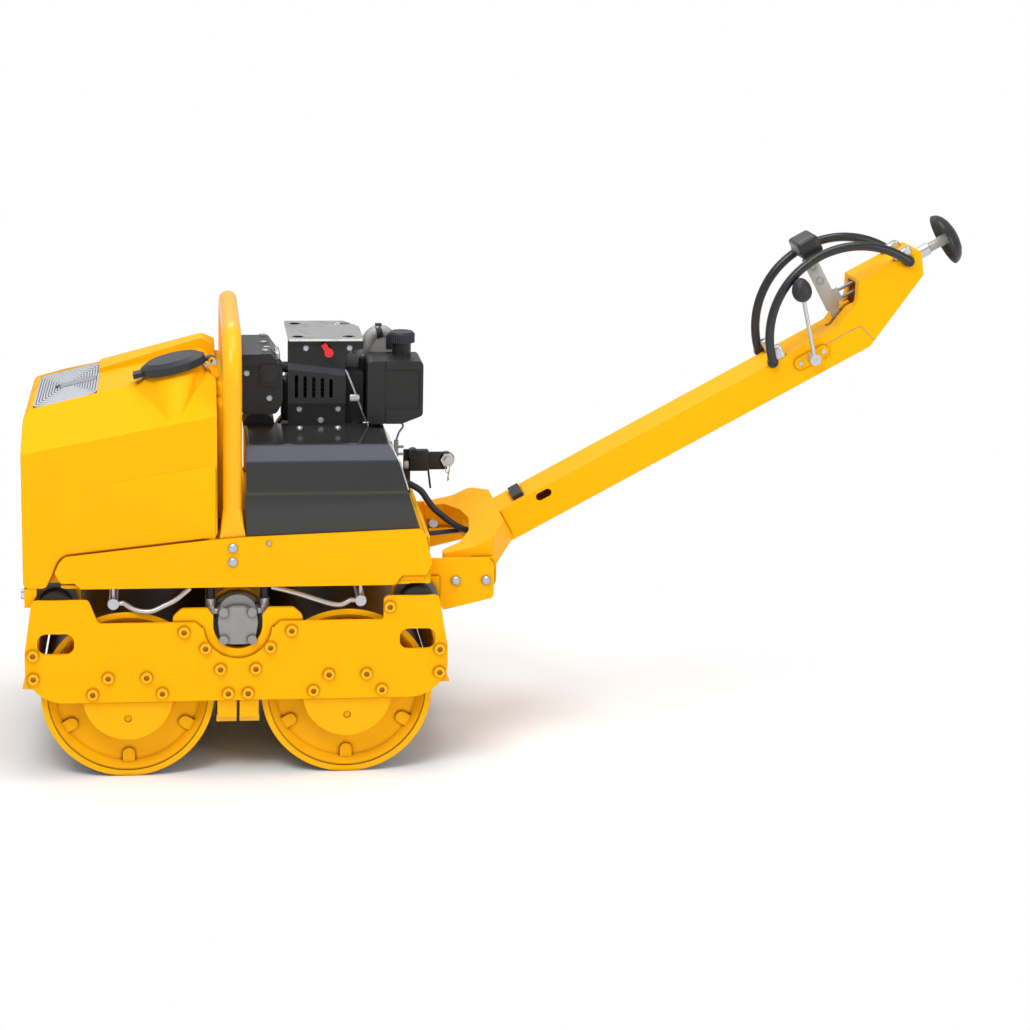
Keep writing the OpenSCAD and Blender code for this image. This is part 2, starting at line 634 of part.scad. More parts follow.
// Spray bars above the drums, fed by bent pipes on the near side
spray_x = 286;
spray_z = 420;
spray_r = 11;
spray_half = 322;
spray_hole_r = 1.5;
spray_pitch = 60;
pipe_r = 6;
clamp_r = 13;
clamp_w = 14;
spray_strap_y = [-316, 296];
spray_strap = [6, 20];
rear_pipe_points = [[273, -322, 420], [268, -322, 420], [262, -322, 420], [242, -328, 412],
  [218, -330, 414],
  [180, -329, 426], [148, -328, 437], [110, -326, 448], [78, -325, 456]];
front_pipe_points = [[-273, -322, 420], [-268, -322, 420], [-262, -322, 420], [-236, -328, 406],
  [-202, -330, 402],
  [-172, -329, 414], [-144, -328, 428], [-126, -326, 442], [-109, -325, 456]];
module spray_bars() color("silver") place() both_ends() difference() {
  union() {
    y_rod(spray_r, -spray_half, spray_half, spray_x, spray_z);
    y_rod(clamp_r, -spray_half - clamp_w / 2, -spray_half + clamp_w / 2, spray_x, spray_z);
    for (y = spray_strap_y) block([spray_x - spray_strap[0] / 2, spray_x + spray_strap[0] / 2],
      [y, y + spray_strap[1]], [spray_z, rail_z]);
  }
  for (y = [-spray_half + spray_pitch : spray_pitch : spray_half - spray_pitch])
    translate([spray_x, y, spray_z - spray_r - cut]) cylinder(r = spray_hole_r, h = spray_r, $fn = 16);
}
module spray_pipes() color("silver") place() {
  hose(rear_pipe_points, pipe_r);
  hose(front_pipe_points, pipe_r);
}

// Rubber buffers between the side plates and the upper frame
module at_buffers() both_sides() both_ends() translate([buffer_x, 0, buffer_z]) children();
module rubber_buffers() color("dimgray") place() at_buffers() difference() {
  y_rod(buffer_r, -plate_in + cap_t, -buffer_y0 - ring_t);
  translate([0, -(plate_in + buffer_y0 + ring_t - cap_t) / 2, 0]) rotate([90, 0, 0])
    rotate_extrude() translate([buffer_r + ring_t / 2, 0]) circle(r = ring_t, $fn = 24);
}
module buffer_plates() color("gray") place() at_buffers() {
  y_rod(buffer_r - cut, -plate_in, -plate_in + cap_t);
  y_rod(buffer_ring_r, -buffer_y0 - ring_t, -buffer_y0);
}

// Upper frame: rails, and a welded floor, deck, walls and buffer brackets between them
bow_bolt_z = [522, 555];
frame_screw = [72, 566];
module rail() difference() {
  along_y(-rail_out, -rail_in) polygon(from_shares(rail_shares, rail_len, rail_h, rail_x0, rail_z));
  for (z = bow_bolt_z) y_rod(bolt_r, -rail_out - cut, -rail_in + cut, bow_x, z);
  y_rod(bolt_r / 2, -rail_out - cut, -rail_in + cut, frame_screw[0], frame_screw[1]);
}
module rail_left() color("gold") place() rail();
module rail_right() color("gold") place() mirror([0, 1, 0]) rail();

floor_x0 = -404;
deck_x0 = -54;
rib_x = 300;
bracket_half = 56;
beam_low = 417;
beam_x = [-488, -460];
beam_half_y = 334;
floor_cut_x = [-84, 96];
floor_cut_y = [236, 322];
deck_cut_x = [0, 106];
wall_cut_y = [-130, 10];
wall_cut_z = [484, 528];
module buffer_bracket() difference() {
  union() {
    y_rod(bracket_half, -buffer_y0, -buffer_y0 + bracket_t, buffer_x, buffer_z);
    block([buffer_x - bracket_half, buffer_x + bracket_half], [-buffer_y0, -buffer_y0 + bracket_t],
      [buffer_z, rail_z]);
  }
  y_rod(bolt_r, -plate_in, -buffer_y0 + bracket_t + cut, buffer_x, buffer_z);
}
module upper_frame() color("goldenrod") place() difference() {
  frame_body();
  both_sides() both_ends() y_rod(buffer_ring_r + gap, -rail_out, -buffer_y0, buffer_x, buffer_z);
  block([beam_x[0], floor_x0], [-rail_in, rail_in], [rail_z, bow_top]);
}
module frame_body() {
  difference() {
    block([floor_x0, wall_x + wall_t], [-rail_in, rail_in], [rail_z, rail_z + floor_t]);
    both_sides() block(floor_cut_x, floor_cut_y, [rail_z - cut, rail_z + floor_t + cut]);
  }
  difference() {
    block([deck_x0, wall_x], [-rail_in, rail_in], [deck_z - floor_t, deck_z]);
    block(deck_cut_x, [-floor_cut_y[1], -floor_cut_y[0]], [deck_z - floor_t - cut, deck_z + cut]);
    both_sides() block([bow_x - bow_foot_w, bow_x + bow_foot_w / 2 + cut],
      [rail_in - bow_foot_t - cut, rail_in + cut], [rail_z, deck_z + cut]);
  }
  difference() {
    block([wall_x, wall_x + wall_t], [-rail_in, rail_in], [rail_z, wall_top]);
    block([wall_x - cut, wall_x + wall_t + cut], wall_cut_y, wall_cut_z);
  }
  for (x = [deck_x0, rib_x]) difference() {
    block([x, x + wall_t], [-rail_in, rail_in], [rail_z, deck_z]);
    both_sides() block([x - cut, x + wall_t + cut], [rail_in - bow_foot_t - cut, rail_in + cut],
      [rail_z, deck_z]);
    both_sides() block([x - cut, x + wall_t + cut], floor_cut_y, [rail_z, deck_z - 2 * floor_t]);
  }
  block(beam_x, [-beam_half_y, beam_half_y], [beam_low, rail_z]);
  both_sides() both_ends() buffer_bracket();
  both_sides() block([floor_x0, buffer_x - bracket_half], [buffer_y0 - bracket_t, buffer_y0],
    [rail_z - ring_t, rail_z]);
}

// Hitch cheeks welded to the rear wall, with the pivot bolts and stop bolts
hitch_shares = [[0, 0.7, 0], [0.11, 0.37, 0.1], [0.25, 0, 0.06], [0.97, 0.22, 0.06], [1, 0.28, 0.06],
  [1, 0.88, 0.03], [0.92, 1, 0.03], [0, 1, 0]];
hitch_len = 160;
hitch_h = 125;
hitch_low = 378;
hitch_head_r = 10.5;
hitch_head_h = 8;
head_share = 0.7;
stop_x = pivot_x - stop_gap;
stop_bar_r = 12;
lug_y = [249, 262];
nut_out = 13;
module cheek() difference() {
  along_y(-cheek_y[1], -cheek_y[0])
    polygon(from_shares(hitch_shares, hitch_len, hitch_h, wall_x + wall_t, hitch_low));
  for (x = [pivot_x, stop_x]) y_rod(stop_r, -cheek_y[1] - cut, -cheek_y[0] + cut, x, pivot_z);
}
module hitch_cheeks() color("gold") place() both_sides() cheek();
module hitch_bolt_set() {
  for (x = [pivot_x, stop_x]) {
    y_cone(hitch_head_r * head_share, hitch_head_r, -cheek_y[1] - hitch_head_h,
      -cheek_y[1] - hitch_head_h / 2, x, pivot_z);
    y_rod(hitch_head_r, -cheek_y[1] - hitch_head_h / 2, -cheek_y[1], x, pivot_z);
  }
  y_rod(stop_r - run_fit, -cheek_y[1], -lug_y[0] + nut_out, pivot_x, pivot_z);
  y_rod(nut_out, -lug_y[0] + gap, -lug_y[0] + nut_out, pivot_x, pivot_z, $fn = 6);
  y_rod(stop_r - run_fit, -cheek_y[1], -cheek_y[0], stop_x, pivot_z);
  y_rod(stop_bar_r, -cheek_y[0], -lug_y[0], stop_x, pivot_z);
}

// Lifting bow: one bent tube with flattened feet bolted inside the rails
bow_top_z = bow_top - bow_r;
module bow_foot() hull() {
  translate([bow_x, -bow_y, bow_tube_z]) cylinder(r = bow_r, h = cut, $fn = 32);
  block([bow_x - bow_foot_w / 2, bow_x + bow_foot_w / 2], [-rail_in, -rail_in + bow_foot_t],
    [bow_foot_z[1], bow_foot_z[1] + cut]);
}
module lifting_bow() color("gold") place() {
  both_sides() difference() {
    union() {
      bow_foot();
      block([bow_x - bow_foot_w / 2, bow_x + bow_foot_w / 2], [-rail_in, -rail_in + bow_foot_t],
        [bow_foot_z[0], bow_foot_z[1] + cut]);
      translate([bow_x, -bow_y, bow_tube_z]) cylinder(r = bow_r, h = bow_top_z - bow_bend - bow_tube_z);
      translate([bow_x, -bow_y + bow_bend, bow_top_z - bow_bend]) rotate([90, 0, -90])
        rotate_extrude(angle = 90) translate([bow_bend, 0]) circle(r = bow_r);
      y_rod(bow_r, -bow_y + bow_bend, 0, bow_x, bow_top_z);
    }
    for (z = bow_bolt_z) y_rod(bolt_r, -rail_out, -rail_in + bow_foot_t + cut, bow_x, z);
  }
}
dome_r = 10.5;
dome_h = 6;
front_bolt_shares = [0.53, 0.84];
front_bolt_y = 326;
front_bolt_r = 5.5;
screw_dome = 4;
screw_dome_r = 8;
module dome_bolt(x, z, r) {
  y_cone(r * head_share, r, -rail_out - dome_h, -rail_out - dome_h / 2, x, z);
  y_rod(r, -rail_out - dome_h / 2, -rail_out, x, z);
}
module engine_screws() {
  for (s = high_screw_shares) y_cone(screw_dome_r * head_share, screw_dome_r,
    shroud_y0 + shroud_step - screw_dome,
    shroud_y0 + shroud_step, shroud_x + s * top_len, lever_hub[1] + screw_dome_r);
  for (s = low_screw_shares) y_cone(screw_dome_r * head_share, screw_dome_r,
    shroud_y0 + shroud_step + shroud_t - screw_dome, shroud_y0 + shroud_step + shroud_t,
      shroud_x + s[0] * shroud_len,
    cover_top + s[1] * (shroud_skirt_z - cover_top));
  for (s = cover_screw_shares) translate([shroud_x + s * shroud_len, shroud_y0 - 2 * shroud_step,
    cover_top])
    cylinder(r1 = screw_dome_r, r2 = screw_dome_r * head_share, h = screw_dome);
  for (s = cleaner_screw_shares) y_cone(screw_dome_r * head_share, screw_dome_r,
    cleaner_y[0] - screw_dome, cleaner_y[0],
    cleaner_x + s[0] * cleaner_len, cleaner_z + s[1] * cleaner_h);
  for (s = cleaner_top_y_shares) translate([cleaner_x + cleaner_len / 2 + screw_dome_r,
    cleaner_y[0] + s * (cleaner_y[1] - cleaner_y[0]), cleaner_z + cleaner_h])
      cylinder(r = screw_dome_r, h = screw_dome);
}
high_screw_shares = [0.24, 0.817];
low_screw_shares = [[0.2, 0.71], [0.875, 0.71], [0.575, 0.2]];
cover_screw_shares = [0.2, 0.86];
cleaner_screw_shares = [[0.12, 0.68], [0.67, 0.262]];
module frame_bolts() color("silver") place() {
  frame_bolt_side();
  mirror([0, 1, 0]) frame_bolt_side();
  engine_screws();
}
module frame_bolt_side() {
  for (z = bow_bolt_z) {
    dome_bolt(bow_x, z, dome_r);
    y_rod(bolt_r - run_fit, -rail_out, -rail_in + bow_foot_t, bow_x, z);
    y_rod(dome_r, -rail_in + bow_foot_t, -rail_in + bow_foot_t + dome_h, bow_x, z, $fn = 6);
  }
  dome_bolt(frame_screw[0], frame_screw[1], front_bolt_r);
  y_rod(bolt_r / 2 - run_fit, -rail_out, -rail_in, frame_screw[0], frame_screw[1]);
  for (s = front_bolt_shares)
    x_rod(front_bolt_r, front_bolt_x, beam_x[0], -front_bolt_y, beam_low + s * (rail_z - beam_low));
  hitch_bolt_set();
}

// Water tank: a hood shaped shell with sloped shoulders and a filler neck
function tank_points() = from_shares(tank_shares, tank_len, tank_h, tank_x0, tank_low);
function inset(p, d) = let (k = len(p)) [for (i = [0 : k - 1]) let (u = unit(p[i] - p[(i + k - 1) % k]),
  v = unit(p[(i + 1) % k] - p[i]), a = [-u[1], u[0]], b = [-v[1], v[0]]) p[i] + (a + b) * d / (1 + a * b)];
shoulder_box = [760, 460, 300];
shoulder_wall_share = 1.2;
module shoulders(d) both_sides() translate([tank_x0, -tank_w / 2, crease_front - d])
  rotate([0, -crease_slope, 0]) rotate([shoulder_slope, 0, 0])
    translate([-shoulder_box[2] / 2, -shoulder_box[2] / 2, 0])
    cube(shoulder_box);
rim_y = 50;
rim_shares = [[0, 0.7, 0], [1, 0.7, 0], [1, 1.036, 0.02], [0.93, 1.091, 0.04], [0, 0.8215, 0.05]];
skirt_in = 20;
skirt_shares = [[0.125, 0.019, 0], [0.97, 0.019, 0], [0.97, 0.254, 0], [0.19, 0.173, 0]];
module tank_part(shares) polygon(from_shares(shares, tank_len, tank_h, tank_x0, tank_low));
module tank_form(d) difference() {
  union() {
    along_y(-tank_w / 2 + d, tank_w / 2 - d) polygon(d > 0 ? inset(tank_points(), d) : tank_points());
    if (d == 0) along_y(rim_y, tank_w / 2) tank_part(rim_shares);
  }
  shoulders(d * shoulder_wall_share);
}
tank_plane = [-477, 852];
function plane_z(x) = tank_plane[1] + (x - tank_plane[0]) * tan(tank_slope);
module on_plane(x, y, up = 0) translate([x, y, plane_z(x)]) rotate([0, -tank_slope, 0])
  translate([0, 0, up]) children();
neck_h = 20;
neck_deep = 60;
hinge_u = 90;
hinge_up = 10;
hinge_r = 4;
ear_t = 7;
ear_gap = 34;
ear_r = 9;
module hinge_ears() on_plane(neck_x, neck_y) for (s = [-1, 1]) difference() {
  union() {
    y_rod(ear_r, s * ear_gap / 2 - ear_t / 2, s * ear_gap / 2 + ear_t / 2, hinge_u, hinge_up);
    block([hinge_u - ear_r, hinge_u + ear_r], [s * ear_gap / 2 - ear_t / 2, s * ear_gap / 2 + ear_t / 2],
      [-neck_deep / 2, hinge_up]);
  }
  y_rod(hinge_r, -ear_gap, ear_gap, hinge_u, hinge_up);
}
panel_x = [-470, -322];
panel_half = 186;
panel_deep = 5;
module panel_seat() on_plane(panel_x[0], 0, -panel_deep)
  translate([0, -panel_half, 0]) cube([(panel_x[1] - panel_x[0]) / cos(tank_slope), 2 * panel_half,
    shoulder_box[2]]);
module water_tank() color("gold") place() difference() {
  union() {
    tank_form(0);
    both_sides() along_y(skirt_in - rail_in, skirt_in - rail_in + tank_wall) tank_part(skirt_shares);
    on_plane(neck_x, neck_y, -neck_deep) cylinder(r = neck_r, h = neck_deep + neck_h);
    on_plane(neck_x, neck_y, -neck_deep) cylinder(r1 = neck_r + neck_h, r2 = neck_r,
      h = neck_deep + neck_h / 2);
    hinge_ears();
  }
  tank_form(tank_wall);
  panel_seat();
  on_plane(neck_x, neck_y, -neck_deep - neck_h) cylinder(r = neck_in_r, h = 2 * neck_deep + neck_h);
}

// Ribbed step panel let into the front of the tank top
rib_count = 6;
rib_pitch = 7;
rib_w = 3.5;
rib_h = 2;
panel_r = 30;
panel_len = (panel_x[1] - panel_x[0]) / cos(tank_slope) - gap;
slot_len = 90;
slot_w = 14;
module panel_pad(d) polygon([for (q = pad(panel_len - 2 * d, 2 * (panel_half - gap - d),
  max(panel_r - d, cut)))
  q + [panel_len / 2, 0]]);
module ribbed_panel() color("silver") place() on_plane(panel_x[0], 0, -panel_deep)
  translate([gap / 2, 0, 0])
  difference() {
    union() {
      linear_extrude(height = panel_deep - rib_h) panel_pad(0);
      for (i = [0 : rib_count - 1]) linear_extrude(height = panel_deep) difference() {
        panel_pad(i * rib_pitch);
        panel_pad(i * rib_pitch + rib_w);
      }
      linear_extrude(height = panel_deep) panel_pad(rib_count * rib_pitch);
    }
    translate([panel_len / 2, -panel_half / 3, panel_deep - rib_h])
      linear_extrude(height = rib_h + cut) polygon(pad(slot_len, slot_w, slot_w / 3));
  }

// Hinged filler cap
cap_r = water_cap_d / 2;
cap_skirt = 17;
cap_dome = 9;
cap_edge = 16;
cap_low = -8;
cap_top_t = 6;
tab_size = [44, 40, 11];
arm_t = 8;
module water_cap() color("darkslategray") place() on_plane(neck_x, neck_y, neck_h + cap_low) difference() {
  union() {
    cylinder(r = cap_r, h = cap_skirt);
    translate([0, 0, cap_skirt]) cylinder(r1 = cap_r, r2 = cap_r - cap_edge, h = cap_dome);
    block([-cap_r - tab_size[1] / 2, -cap_r + tab_size[1] / 2], [-tab_size[0] / 2, tab_size[0] / 2],
      [0, tab_size[2]]);
    block([cap_r - arm_t, hinge_u], [-ear_gap / 2 + ear_t / 2 + gap, ear_gap / 2 - ear_t / 2 - gap],
      [0, arm_t]);
    y_rod(ear_r, -ear_gap / 2 + ear_t / 2 + gap, ear_gap / 2 - ear_t / 2 - gap, hinge_u,
      hinge_up - neck_h - cap_low);
    y_rod(hinge_r - run_fit, -ear_gap / 2 - ear_t, ear_gap / 2 + ear_t, hinge_u,
      hinge_up - neck_h - cap_low);
  }
  translate([0, 0, -cut]) cylinder(r = lid_in_r, h = -cap_low + gap + cut);
  translate([0, 0, -cut]) cylinder(r = neck_in_r, h = cap_skirt + cap_dome - cap_top_t + cut);
}

// Engine cover: a bent sheet guard over the pump side of the engine
cover_yz_shares = [[0, 0, 0], [1, 0, 0], [1, 1, 0], [0.2, 1, 0.08], [0.055, 0.847, 0.05],
  [0.018, 0.52, 0], [0.034, 0.48, 0], [0, 0.1, 0]];
cover_xz_shares = [[0, 0, 0], [1, 0, 0], [0.862, 0.85, 0.06], [0.81, 1, 0.05], [0, 1, 0.05]];
cover_h = cover_top - deck_z;
function cover_yz() = from_shares(cover_yz_shares, cover_y1 - cover_y0, cover_h, cover_y0, deck_z);
function cover_xz() = from_shares(cover_xz_shares, cover_len, cover_h, cover_x, deck_z);
function open_below(p) = [for (q = p) [q[0], q[1] < deck_z + cover_wall + cut ? deck_z - cut : q[1]]];
module engine_cover() color("darkslategray") place() difference() {
  intersection() {
    along_x(cover_x - cut, cover_x + cover_len + cut) polygon(cover_yz());
    along_y(cover_y0 - cut, cover_y1 + cut) polygon(cover_xz());
  }
  intersection() {
    along_x(cover_x - cut, cover_x + cover_len + cut) translate([cover_wall, -cover_wall])
      polygon(cover_yz());
    along_y(cover_y0 - cut, cover_y1 + 3 * cut) polygon(open_below(inset(cover_xz(), cover_wall)));
  }
}

// Engine: crankcase, finned cylinder and head, with a bracket that carries the fuel tank
case_x = [112, 300];
case_y = [-76, 104];
case_top = 764;
case_r = 24;
foot_h = 12;
foot_w = 40;
bell_r = 74;
bell_end = -180;
bell_wall = 8;
cyl_r = 50;
fin_r = 64;
fin_t = 4;
fin_pitch = 12;
head_x = [134, 256];
head_y = [-60, 84];
head_low = 900;
tank_arm_x = [280, 396];
tank_arm_y = [-60, -4];
tank_arm_t = 8;
side_box_x = [shroud_x + shroud_len + gap, 308];
side_box_y = [-50, 50];
side_box_top = 906;
round_at = [58, 774];
round_r = 38;
round_y = [-56, 60];
module engine_block() color("dimgray") place() difference() {
  union() {
    along_y(case_y[0], case_y[1]) translate([(case_x[0] + case_x[1]) / 2, (deck_z + foot_h + case_top) / 2])
      polygon(pad(case_x[1] - case_x[0], case_top - deck_z - foot_h, case_r));
    for (x = case_x) block([x - foot_w / 2, x + foot_w / 2], case_y, [deck_z, deck_z + foot_h + case_r]);
    y_rod(bell_r, bell_end, case_y[0], crank_x, crank_z);
    translate([crank_x, 0, case_top - cut]) cylinder(r = cyl_r, h = head_low + 2 * cut - case_top);
    for (z = [case_top + fin_pitch : fin_pitch : head_low - fin_t]) translate([crank_x, 0, z])
      cylinder(r = fin_r, h = fin_t);
    block(head_x, head_y, [head_low, shroud_top - gap]);
    block(side_box_x, side_box_y, [case_top - case_r, side_box_top]);
    y_rod(round_r, round_y[0], round_y[1], round_at[0], round_at[1]);
    block([round_at[0], case_x[0] + case_r], round_y, [round_at[1] - round_r, case_top - foot_h]);
    block([tank_arm_x[0], tank_arm_x[0] + 2 * tank_arm_t], tank_arm_y,
      [case_top - case_r, fuel_z - tank_arm_t]);
    block(tank_arm_x, tank_arm_y, [fuel_z - tank_arm_t, fuel_z]);
  }
  y_rod(crank_r + run_fit, bell_end - cut, case_y[1] + cut, crank_x, crank_z);
  y_rod(bell_r - bell_wall, bell_end - cut, case_y[0] - bell_wall / 2, crank_x, crank_z);
}

// Air shroud of bent sheet with five slots, a sloped fold and a set back lower edge
shroud_t = 3;
shroud_slots = 5;
slot_pitch = 20.6;
shroud_slot_w = 8;
shroud_slot_h = 56;
shroud_slot_z = 881;
shroud_top = 991;
shroud_step = 10;
shroud_skirt_z = 839;
fold_slope = 7;
fold_low = 923;
fold_h = 17;
top_len = 180;
shroud_low_shares = [[0, 0, 0], [1, 0, 0], [1, 0.798, 0], [0, 1, 0]];
shroud_high_shares = [[0, 0, 0], [0.767, -0.405, 0], [0.767, 0.262, 0.2], [0.833, 0.524, 0.2],
  [1, 0.595, 0],
  [1, 1, 0], [0, 1, 0]];
lever_hub = [222, 964];
lever_pin_r = 5;
module shroud_front() difference() {
  along_y(shroud_y0, shroud_y0 + shroud_t)
    polygon(from_shares(shroud_low_shares, shroud_len, fold_low - shroud_skirt_z, shroud_x,
      shroud_skirt_z));
  for (i = [0 : shroud_slots - 1]) along_y(shroud_y0 - cut, shroud_y0 + shroud_t + cut)
    translate([shroud_x + slot_pitch + i * slot_pitch, shroud_slot_z - i * slot_pitch * tan(fold_slope)
      / 2])
      polygon(pad(shroud_slot_w, shroud_slot_h - i * slot_pitch * tan(fold_slope), shroud_slot_w / 2.2));
}
module shroud_fold() intersection() {
  translate([shroud_x, shroud_y0, fold_low]) rotate([0, fold_slope, 0]) along_x(-shroud_step, shroud_len)
    polygon([for (q = [[0, -shroud_t], [shroud_t, -shroud_t], [shroud_step + shroud_t, fold_h],
      [shroud_step, fold_h]]) q + [shroud_t / 2, 0]]);
  block([shroud_x, shroud_x + shroud_len], [shroud_y0, -shroud_y0], [shroud_skirt_z, shroud_top]);
}
module shroud_side(x) block([x, x + shroud_t], [shroud_y0, -shroud_y0],
  [shroud_skirt_z, fold_low - 2 * shroud_step]);
module engine_shroud() color("darkslategray") place() difference() {
  union() {
    shroud_front();
    shroud_fold();
    along_y(shroud_y0 + shroud_step, shroud_y0 + shroud_step + shroud_t)
      polygon(from_shares(shroud_high_shares, top_len, shroud_top - fold_low - fold_h + cut, shroud_x,
        fold_low + fold_h - cut));
    shroud_side(shroud_x);
    shroud_side(shroud_x + shroud_len - shroud_t);
    block([shroud_x, shroud_x + shroud_len], [shroud_y0, shroud_y0 + shroud_step + 2 * shroud_t],
      [shroud_skirt_z, shroud_skirt_z + shroud_t]);
    block([shroud_x, shroud_x + shroud_len], [shroud_y0 + shroud_step + shroud_t,
      shroud_y0 + shroud_step + 2 * shroud_t],
      [cover_top, shroud_skirt_z + cut]);
  }
  y_rod(lever_pin_r, shroud_y0 - cut, head_y[0], lever_hub[0], lever_hub[1]);
}
top_y = [-92, 156];
top_cut_shares = [[0, 0, 0.03], [1, 0, 0.03], [1, 0.68, 0.03], [0.81, 1, 0.03], [0, 1, 0.03]];
top_screw_shares = [[0.14, 0.14], [0.8, 0.14], [0.14, 0.84], [0.72, 0.84]];
top_recess_r = 12;
top_recess_depth = 3;
module engine_top_cover() color("lightgray") place() difference() {
  translate([0, 0, shroud_top]) linear_extrude(height = engine_top - shroud_top)
    polygon(from_shares(top_cut_shares, top_len, top_y[1] - top_y[0], shroud_x, top_y[0]));
  for (s = top_screw_shares)
    translate([shroud_x + s[0] * top_len, top_y[0] + s[1] * (top_y[1] - top_y[0]),
      engine_top - top_recess_depth])
      cylinder(r = top_recess_r, h = top_recess_depth + cut);
}

// Air cleaner with its pipe to the engine
cleaner_x = 15;
cleaner_len = 97;
cleaner_z = 821;
cleaner_h = 145;
cleaner_y = [-118, 130];
cleaner_shares = [[0, 0, 0.06], [0.85, 0, 0.1], [1, 0.2, 0.06], [1, 0.74, 0.16], [0.72, 1, 0.05],
  [0, 1, 0.03]];
cleaner_lip = [42, 27];
cleaner_lip_t = 6;
cleaner_box_at = [80, 915];
cleaner_box = [42, 50];
cleaner_box_t = 8;
cleaner_disc_r = 17;
cleaner_top_y_shares = [0.15, 0.57, 0.96];
cleaner_bolt_r = 7;
cleaner_pipe_r = 13;
cleaner_pipe_z = 918;
module air_cleaner() color("dimgray") place() {
  along_y(cleaner_y[0], cleaner_y[1])
    polygon(from_shares(cleaner_shares, cleaner_len, cleaner_h, cleaner_x, cleaner_z));
  block([cleaner_x, cleaner_x + cleaner_lip[0]], [cleaner_y[0] - cleaner_lip_t, cleaner_y[0]],
    [cleaner_z + cleaner_h - cleaner_lip[1], cleaner_z + cleaner_h]);
  along_y(cleaner_y[0] - cleaner_box_t, cleaner_y[0]) translate(cleaner_box_at)
    polygon(pad(cleaner_box[0], cleaner_box[1], cleaner_box_t));
  y_rod(cleaner_disc_r, cleaner_y[0] - cleaner_box_t - cleaner_lip_t / 2, cleaner_y[0],
    cleaner_box_at[0], cleaner_box_at[1]);
  x_rod(cleaner_pipe_r, cleaner_x + cleaner_len - cut, head_x[0], head_y[0] + 2 * cleaner_pipe_r,
    cleaner_pipe_z);
}
elbow_points = [[256, 40, 930], [268, 40, 930], [282, 40, 930], [302, 40, 935], [317, 40, 950],
  [326, 40, 971], [340, 40, 987], [358, 42, 990], [374, 46, 980], [382, 52, 962], [384, 56, 942]];
elbow_r = 16;
module intake_elbow() color("lightgray") place() hose(elbow_points, elbow_r, 14, 4);

// Fuel tank with its neck and screwed cap
fuel_x = 313;
fuel_len = 133;
fuel_z = 795;
fuel_h = 152;
fuel_y = [-120, 0];
fuel_shares = [[0, 0, 0.08], [0.62, 0, 0.06], [1, 0.13, 0.07], [1, 1, 0.08], [0, 1, 0.08]];
fuel_seam_share = 0.31;
fuel_seam = 3;
fuel_panel_at = [396, 879];
fuel_panel = [84, 97];
fuel_panel_depth = 4;
fuel_cap_at = [401, -26];
fuel_neck_r = 23;
fuel_neck_h = 29;
fuel_cap_h = 22;
fuel_cap_rim = 5;
module fuel_tank() color("darkslategray") place() difference() {
  union() {
    along_y(fuel_y[0], fuel_y[1]) polygon(from_shares(fuel_shares, fuel_len, fuel_h, fuel_x, fuel_z));
    translate([fuel_cap_at[0], fuel_cap_at[1], fuel_z + fuel_h - cut])
      cylinder(r = fuel_neck_r, h = fuel_neck_h + cut);
  }
  along_y(fuel_y[0] - cut, fuel_y[0] + fuel_panel_depth) translate(fuel_panel_at)
    polygon(pad(fuel_panel[0], fuel_panel[1], 2 * fuel_panel_depth));
  block([fuel_x + fuel_seam_share * fuel_len, fuel_x + fuel_seam_share * fuel_len + fuel_seam],
    [fuel_y[0] - cut, fuel_y[0] + fuel_seam], [fuel_z - cut, fuel_z + fuel_h + cut]);
}
module fuel_cap() color("darkslategray") place()
  translate([fuel_cap_at[0], fuel_cap_at[1], fuel_z + fuel_h + fuel_neck_h + gap]) {
    cylinder(r = fuel_cap_d / 2, h = fuel_cap_h);
    translate([0, 0, fuel_cap_h]) cylinder(r1 = fuel_cap_d / 2, r2 = fuel_cap_d / 2 - fuel_cap_rim,
      h = fuel_cap_rim);
  }

// Decompression lever on a pin through the shroud
lever_hub_r = 11;
lever_hub_t = 8;
lever_arm = [13, 24];
lever_lean = 32;
lever_y = top_y[0] - gap;
module decompression_lever() color("red") place() {
  y_rod(lever_hub_r, lever_y - lever_hub_t, lever_y, lever_hub[0], lever_hub[1]);
  y_rod(lever_pin_r - run_fit, lever_y - cut, head_y[0] - cut, lever_hub[0], lever_hub[1]);
  translate([lever_hub[0], lever_y - lever_hub_t, lever_hub[1]]) rotate([0, -lever_lean, 0])
    block([-lever_arm[0] / 2, lever_arm[0] / 2], [0, lever_hub_t], [0, lever_arm[1]]);
}

// Crankshaft with its flywheel, and the hydraulic pump it drives
wheel_r = 105;
wheel_y = [110, 144];
module flywheel() color("silver") place() {
  y_rod(crank_r, bell_end + bell_wall, wheel_y[1], crank_x, crank_z);
  y_rod(wheel_r, wheel_y[0], wheel_y[1], crank_x, crank_z);
}
pump_flange_t = 10;
pump_r = 46;
pump_y = -300;
port_block_x = 134;
port_block_y = [-266, -234];
port_block_z = [642, 722];
module hydraulic_pump() color("dimgray") place() {
  y_rod(bell_r, bell_end - pump_flange_t, bell_end, crank_x, crank_z);
  y_rod(pump_r, pump_y, bell_end - pump_flange_t, crank_x, crank_z);
  block([port_block_x, crank_x], port_block_y, port_block_z);
}
oil_x = [-10, 180];
oil_half = 200;
oil_h = 70;
oil_r = 20;
module hydraulic_tank() color("dimgray") place() translate([(oil_x[0] + oil_x[1]) / 2, 0, rail_z + floor_t])
  linear_extrude(height = oil_h) polygon(pad(oil_x[1] - oil_x[0], 2 * oil_half, oil_r));

